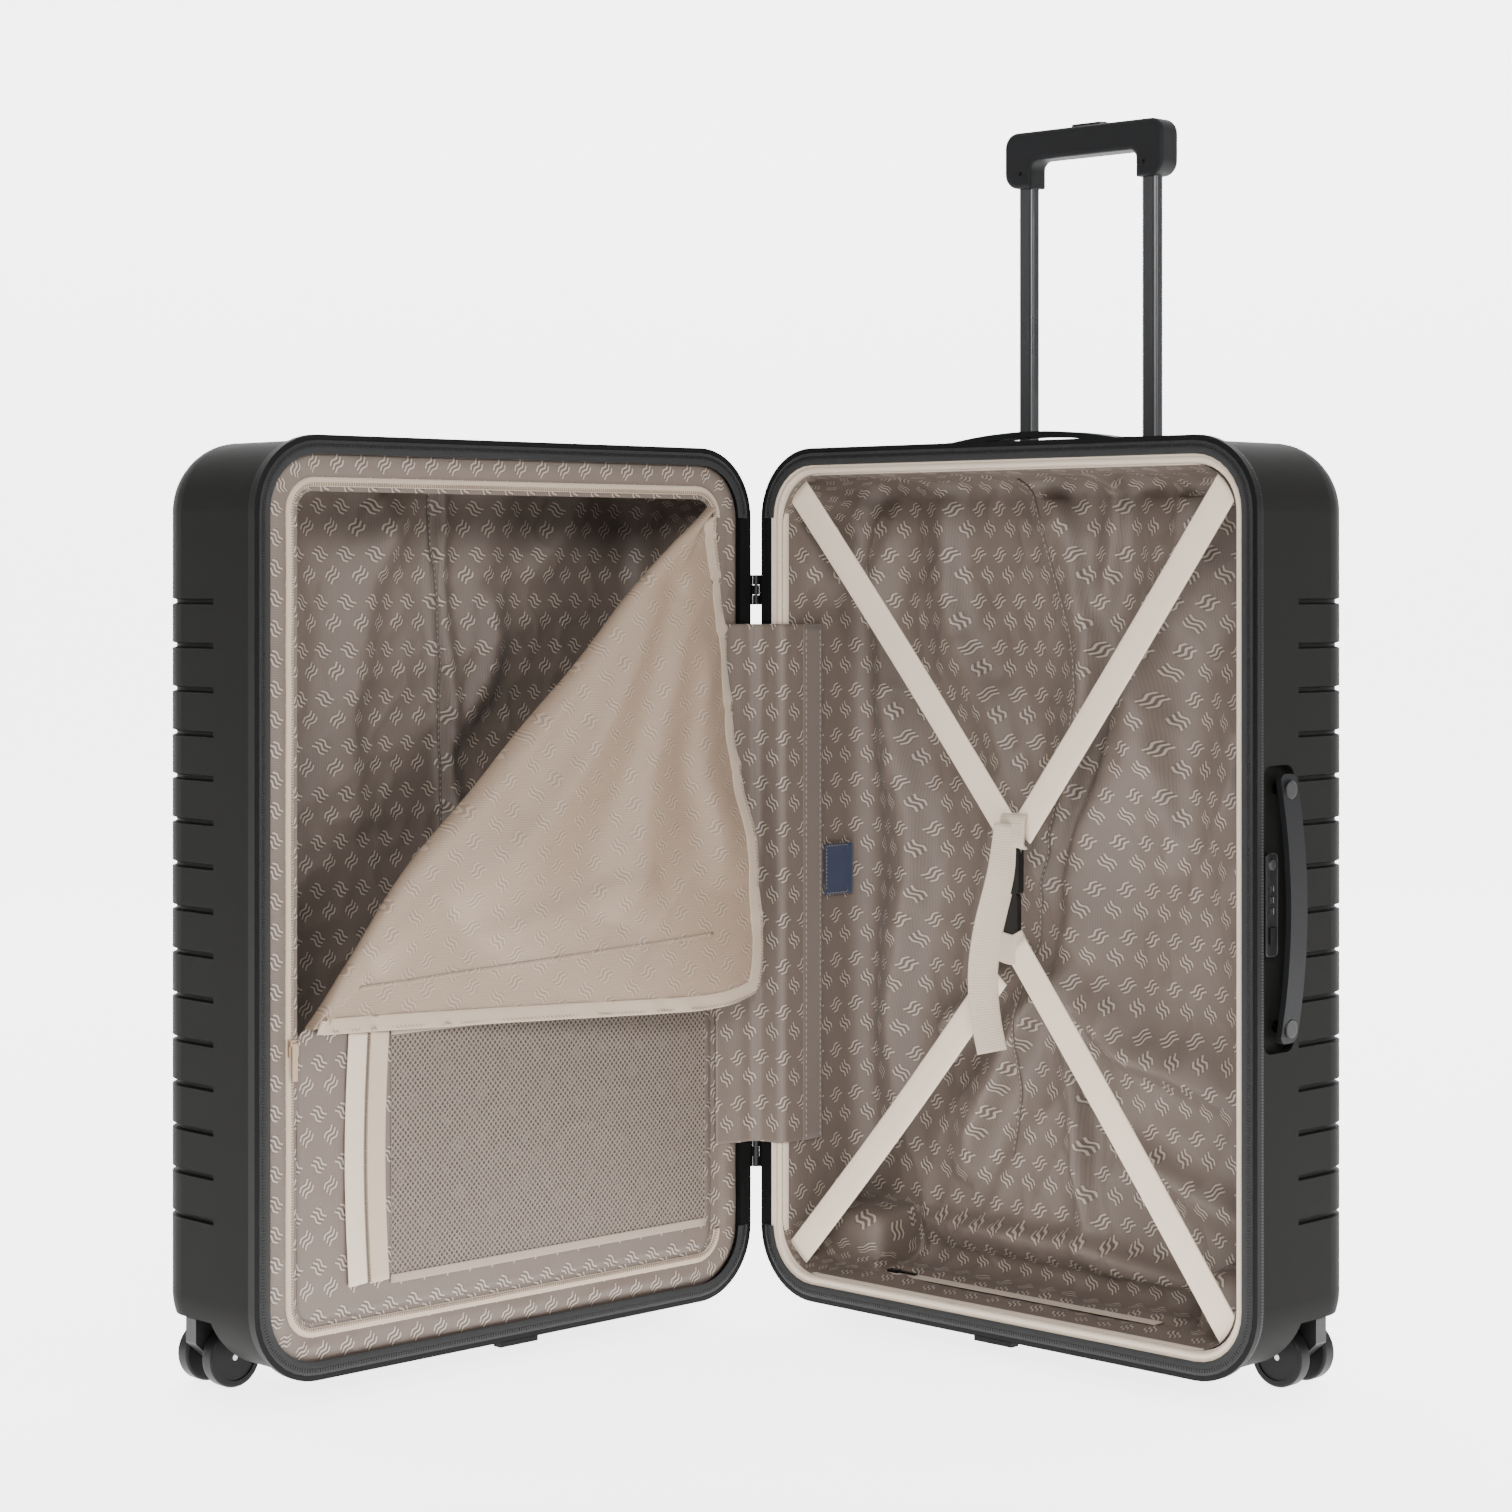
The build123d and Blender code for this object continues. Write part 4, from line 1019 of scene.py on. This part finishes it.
steps = 260
edge_s = [k / steps for k in range(3, steps - 2)]
outer_edge = [flap_point(s, 1.0)[0] for s in edge_s]
inner_edge = [flap_point(s, 0.955)[0] for s in edge_s]
edge_normals = normals_of(outer_edge, inner_edge)
edge_sides = [(b - a).normalized() for a, b in zip(outer_edge, inner_edge)]
tape_mid = [p + n * 0.9 * MM + d * 1.5 * MM for p, n, d in zip(outer_edge, edge_normals, edge_sides)]
flap_tape = ribbon(tape_mid, 13, 1.0, "flap_zip_tape", "flap_tape", None, side=edge_sides, slot="tan_tape")
tooth_frames, carry = [], 0.0
for k in range(1, len(outer_edge)):
    along = outer_edge[k] - outer_edge[k - 1]
    carry += along.length
    if carry >= 2.4 * MM:
        carry = 0.0
        centre = outer_edge[k] - edge_sides[k] * 4.6 * MM + edge_normals[k] * 1.0 * MM
        tooth_frames.append((centre, along.normalized(), edge_sides[k], edge_normals[k]))
flap_teeth = make_mesh("flap_zip_teeth", *blocks(tooth_frames, (1.5, 3.2, 1.0)), "teeth_tan", None,
                       smooth=False, slot="tan_tape")


def seam_point(k, shift=0.0):
    """Point of the level seam above the flap's bottom edge."""
    s = 0.09 + 0.40 * k / 90
    fold, edge = A.lerp(B, s).y, flap_plan(s, 1.0).y
    level = 322.0 + 22.0 * k / 90
    return flap_point(s, min(0.97, max(0.06, (fold - level) / (fold - edge))) - shift)[0]


seam_points = [seam_point(k) for k in range(91)]
seam_inner = [seam_point(k, 0.03) for k in range(91)]
seam_normals = normals_of(seam_points, seam_inner)
raised = [p + n * 0.8 * MM for p, n in zip(seam_points, seam_normals)]
seam_sides = [(b - a).normalized() for a, b in zip(seam_points, seam_inner)]
flap_seam = ribbon(raised, 3.4, 0.9, "flap_seam", "beige", None, side=seam_sides, slot="beige")
flap_stitches = stitches([p + n * 1.4 * MM for p, n in zip(seam_points, seam_normals)], seam_normals,
                         "flap_stitches", None)

flap_pieces = [flap_tape, flap_teeth, flap_seam, flap_stitches]
thicken(flap, 0.8)
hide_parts("divider_flap")
for piece in [flap] + flap_pieces:
    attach(piece, "lid")
    tuple(lid(250, 4.2, 400))
    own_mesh(piece)

# ---- cloth over the hinge ----
COVER_STEPS, COVER_LOW, COVER_HIGH = 56, 153.0, 607.0


def cover_path():
    """Section of the hinge cloth from the lid's border, over the hinge and down the base's side wall."""
    world = [lid(44, 5.2, 0), lid(30, 3.2, 0), lid(18, 0.2, 0), lid(8, -1.0, 0)]
    world += [Vector((0, SHIFT_Y * MM - 0.0062, 0))]
    world += [base(8, -1.0, 0), base(18, 0.0, 0), base(26, 0.9, 0), base(30.2, 5.0, 0),
              base(30.6, 14, 0), base(30.8, 32, 0), base(30.9, 50, 0)]
    return curve_points(world, COVER_STEPS)


COVER = cover_path()
cover_run = [0.0]
for a, b in zip(COVER, COVER[1:]):
    cover_run.append(cover_run[-1] + (b - a).length / MM)


def cover_height(t):
    return COVER_LOW + (COVER_HIGH - COVER_LOW) * t


def cover_point(i, j):
    k = round(i * COVER_STEPS)
    p = COVER[k].copy()
    z = cover_height(j)
    slack = sin(pi * min(1.0, max(0.0, (i - 0.05) / 0.55)))
    pucker = (0.8 * soft_noise(k * 3.0, z, 0.02, 91) + 1.6 * ridge(k * 2.0, z, 0.018, 93)) * slack
    p += Vector((0, -1, 0)) * pucker * 0.6 * MM
    p.z = z * MM
    return p, (cover_run[k], z)


cover = make_mesh("hinge_cover_cloth", *grid(COVER_STEPS, 150, cover_point), "lining", None, slot="lining")
thicken(cover, 0.7)
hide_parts("hinge_cover_base", "hinge_cover_lid")
tuple(base(10, 0, 380))
tuple(lid(10, 0, 380))
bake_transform(cover)
base_depth = Vector((SIN, COS, 0))
strip_points = [base(31.7, 39, cover_height(k / 60)) for k in range(61)]
ribbon(strip_points, 24, 0.8, "cover_edge_strip", "cover_edge", "base", side=base_depth, slot="lining")
wall_out = Vector((COS, -SIN, 0))
for number, y in enumerate((30.0, 48.0), 1):
    line = [base(32.4, y, 155 + 450 * k / 90) for k in range(91)]
    stitches(line, [wall_out] * 91, f"cover_stitches_{number}", "base")

# ---- label ----
def label_point(i, j):
    """Label on the base's side wall, with one edge standing off a little."""
    y, z = 55.0 + 35.0 * i, 366.5 + 45.0 * j
    bow = 1.2 + 0.6 * sin(pi * i) * sin(pi * j) + 1.5 * step(i, 0.7, 1.0)
    return base(30.4 + bow, y, z), (y, z)


label = make_mesh("label_cloth", *grid(16, 22, label_point), "navy", "base", replaces=("label",), slot="navy")
thicken(label, 0.8)
rim_points = [(56.5, 368), (84, 368), (84, 410), (56.5, 410), (56.5, 368)]
label_line = []
for (ya, za), (yb, zb) in zip(rim_points, rim_points[1:]):
    label_line += [base(32.4, ya + (yb - ya) * k / 24, za + (zb - za) * k / 24) for k in range(24)]
stitches(label_line, [wall_out] * len(label_line), "label_stitches", "base", 2.2, 1.2, 0.3)

# ---- lining zip ----
zip_line = [base(105 + 295 * k / 60, 55, 44.4) for k in range(61)]
ribbon(zip_line, 13, 0.9, "lining_zip_tape", "tan", "base", side=base_depth, replaces=("lining_zip",),
       slot="tan_tape")

# ---- cross straps ----
def strap_points(corner, inner, sag, count=60):
    """Line of a strap from its corner to the buckle, bowed into the case by sag."""
    c, i = Vector(corner), Vector(inner)
    out = []
    for k in range(count + 1):
        t = k / count
        p = c.lerp(i, t)
        p.y += sag * sin(pi * t)
        out.append(base(*p))
    return out


def strap_side(corner, inner):
    run = (Vector(inner) - Vector(corner)).normalized()
    across = Vector((-run.z, 0, run.x))
    return base(*across) - base(0, 0, 0)


STRAPS = {
    "upper_left": ((40, 12, 724), (271, 22, 436), 3.0),
    "upper_right": ((502, 12, 724), (282, 23.4, 436), 2.0),
    "lower_left": ((40, 12, 58), (258, 22, 318), 5.0),
    "lower_right": ((502, 12, 58), (278, 20.4, 344), 2.0),
}
for strap_name, (corner, inner, sag) in STRAPS.items():
    ribbon(strap_points(corner, inner, sag), 25, 1.6, f"strap_{strap_name}", "strap", "base",
           side=strap_side(corner, inner), slot="cream",
           replaces=("cross_straps",) if strap_name == "upper_left" else ())
base_across = base(1, 0, 0) - base(0, 0, 0)
tail_sides = [base_across.lerp(Vector((1, 0, 0)), min(1.0, 0.2 + k / 30)).normalized() for k in range(51)]
LOOP = ((277, 24.5, 452), (277, 19.6, 450), (277, 18.4, 440), (276, 18.4, 428), (276, 23, 424))
TAIL = ((275, 17.0, 444), (270, 13.6, 404), (256, 12.5, 356), (250, 12.5, 318), (252, 13.5, 284),
        (258, 15.0, 254))
GATHER = ((250, 24, 346), (262, 20.6, 342), (278, 20.2, 340), (290, 23, 346))
for name, controls, count, width, thick, side in (("loop", LOOP, 24, 26, 2.2, base_across),
                                                  ("tail", TAIL, 50, 25, 1.6, tail_sides),
                                                  ("gather", GATHER, 24, 25, 1.6, upright)):
    line = curve_points([base(*c) for c in controls], count)
    ribbon(line, width, thick, f"strap_{name}", "cream", "base", side=side, slot="cream")

# ---- stage, light and camera ----
def floor_material():
    """White paper that glows from just in front of the case to the far wall."""
    n = Nodes("floor_paper")
    tone = n.mix(n.noise(n.object(), 6.0, 2.0), (0.88, 0.88, 0.88, 1), (0.9, 0.9, 0.9, 1))
    glow = n.smooth(n.part(n.object(), "Y"), -1.05, -0.4) * 3.5
    n.drive(n.shader, {"Emission Color": (1, 1, 1, 1), "Emission Strength": glow})
    return n.finish(tone, 0.9, specular=0.1)


def backdrop():
    """Floor that curves up into a wall far behind."""
    sections = [(-7.0, 0.0), (3.2, 0.0)]
    sections += [(3.2 + 1.6 * sin(a), 1.6 - 1.6 * cos(a)) for a in (pi / 2 * k / 16 for k in range(1, 17))]
    sections += [(4.8, 7.0)]
    verts = [(x, y, z - 0.0002) for y, z in sections for x in (-9.0, 9.0)]
    faces = [(2 * k, 2 * k + 1, 2 * k + 3, 2 * k + 2) for k in range(len(sections) - 1)]
    mesh = bpy.data.meshes.new("backdrop")
    mesh.from_pydata(verts, [], faces)
    mesh.materials.append(floor_material())
    shade_smooth(mesh)
    obj = bpy.data.objects.new("backdrop", mesh)
    bpy.context.scene.collection.objects.link(obj)


def area_light(name, place, target, size, power):
    data = bpy.data.lights.new(name, "AREA")
    data.shape = "RECTANGLE"
    data.size, data.size_y = size
    data.energy = power
    obj = bpy.data.objects.new(name, data)
    obj.location = place
    obj.rotation_euler = (Vector(target) - Vector(place)).to_track_quat("-Z", "Y").to_euler()
    bpy.context.scene.collection.objects.link(obj)


backdrop()
area_light("key_right", (3.1, -2.3, 1.75), (-0.25, 0.25, 0.45), (1.2, 0.9), 62)
area_light("key_left", (-2.1, -3.1, 2.8), (0.2, 0.2, 0.4), (1.1, 0.9), 24)
area_light("key_front", (0.1, -3.7, 1.75), (0, 0, 0.4), (1.3, 0.9), 118)
area_light("fill_right", (3.4, -1.6, 1.9), (0, 0, 0.4), (1.8, 2.2), 12)
area_light("fill_left", (-3.6, -0.9, 1.9), (0, 0, 0.4), (1.8, 2.2), 9)
area_light("top", (0, 0.2, 4.0), (0, 0, 0), (3.4, 3.0), 75)

world = bpy.data.worlds.new("studio")
world.use_nodes = True
world.node_tree.nodes["Background"].inputs["Color"].default_value = (1, 1, 1, 1)
world.node_tree.nodes["Background"].inputs["Strength"].default_value = 0.27
bpy.context.scene.world = world

camera_data = bpy.data.cameras.new("camera")
camera_data.sensor_width = 36.0
camera_data.lens = 79.8095
camera_data.shift_y = -0.119709
camera = bpy.data.objects.new("camera", camera_data)
camera.location = (0.0, SHIFT_Y * MM - 2.95, 0.65)
camera.rotation_euler = (radians(90), 0, 0)
bpy.context.scene.collection.objects.link(camera)
bpy.context.scene.camera = camera
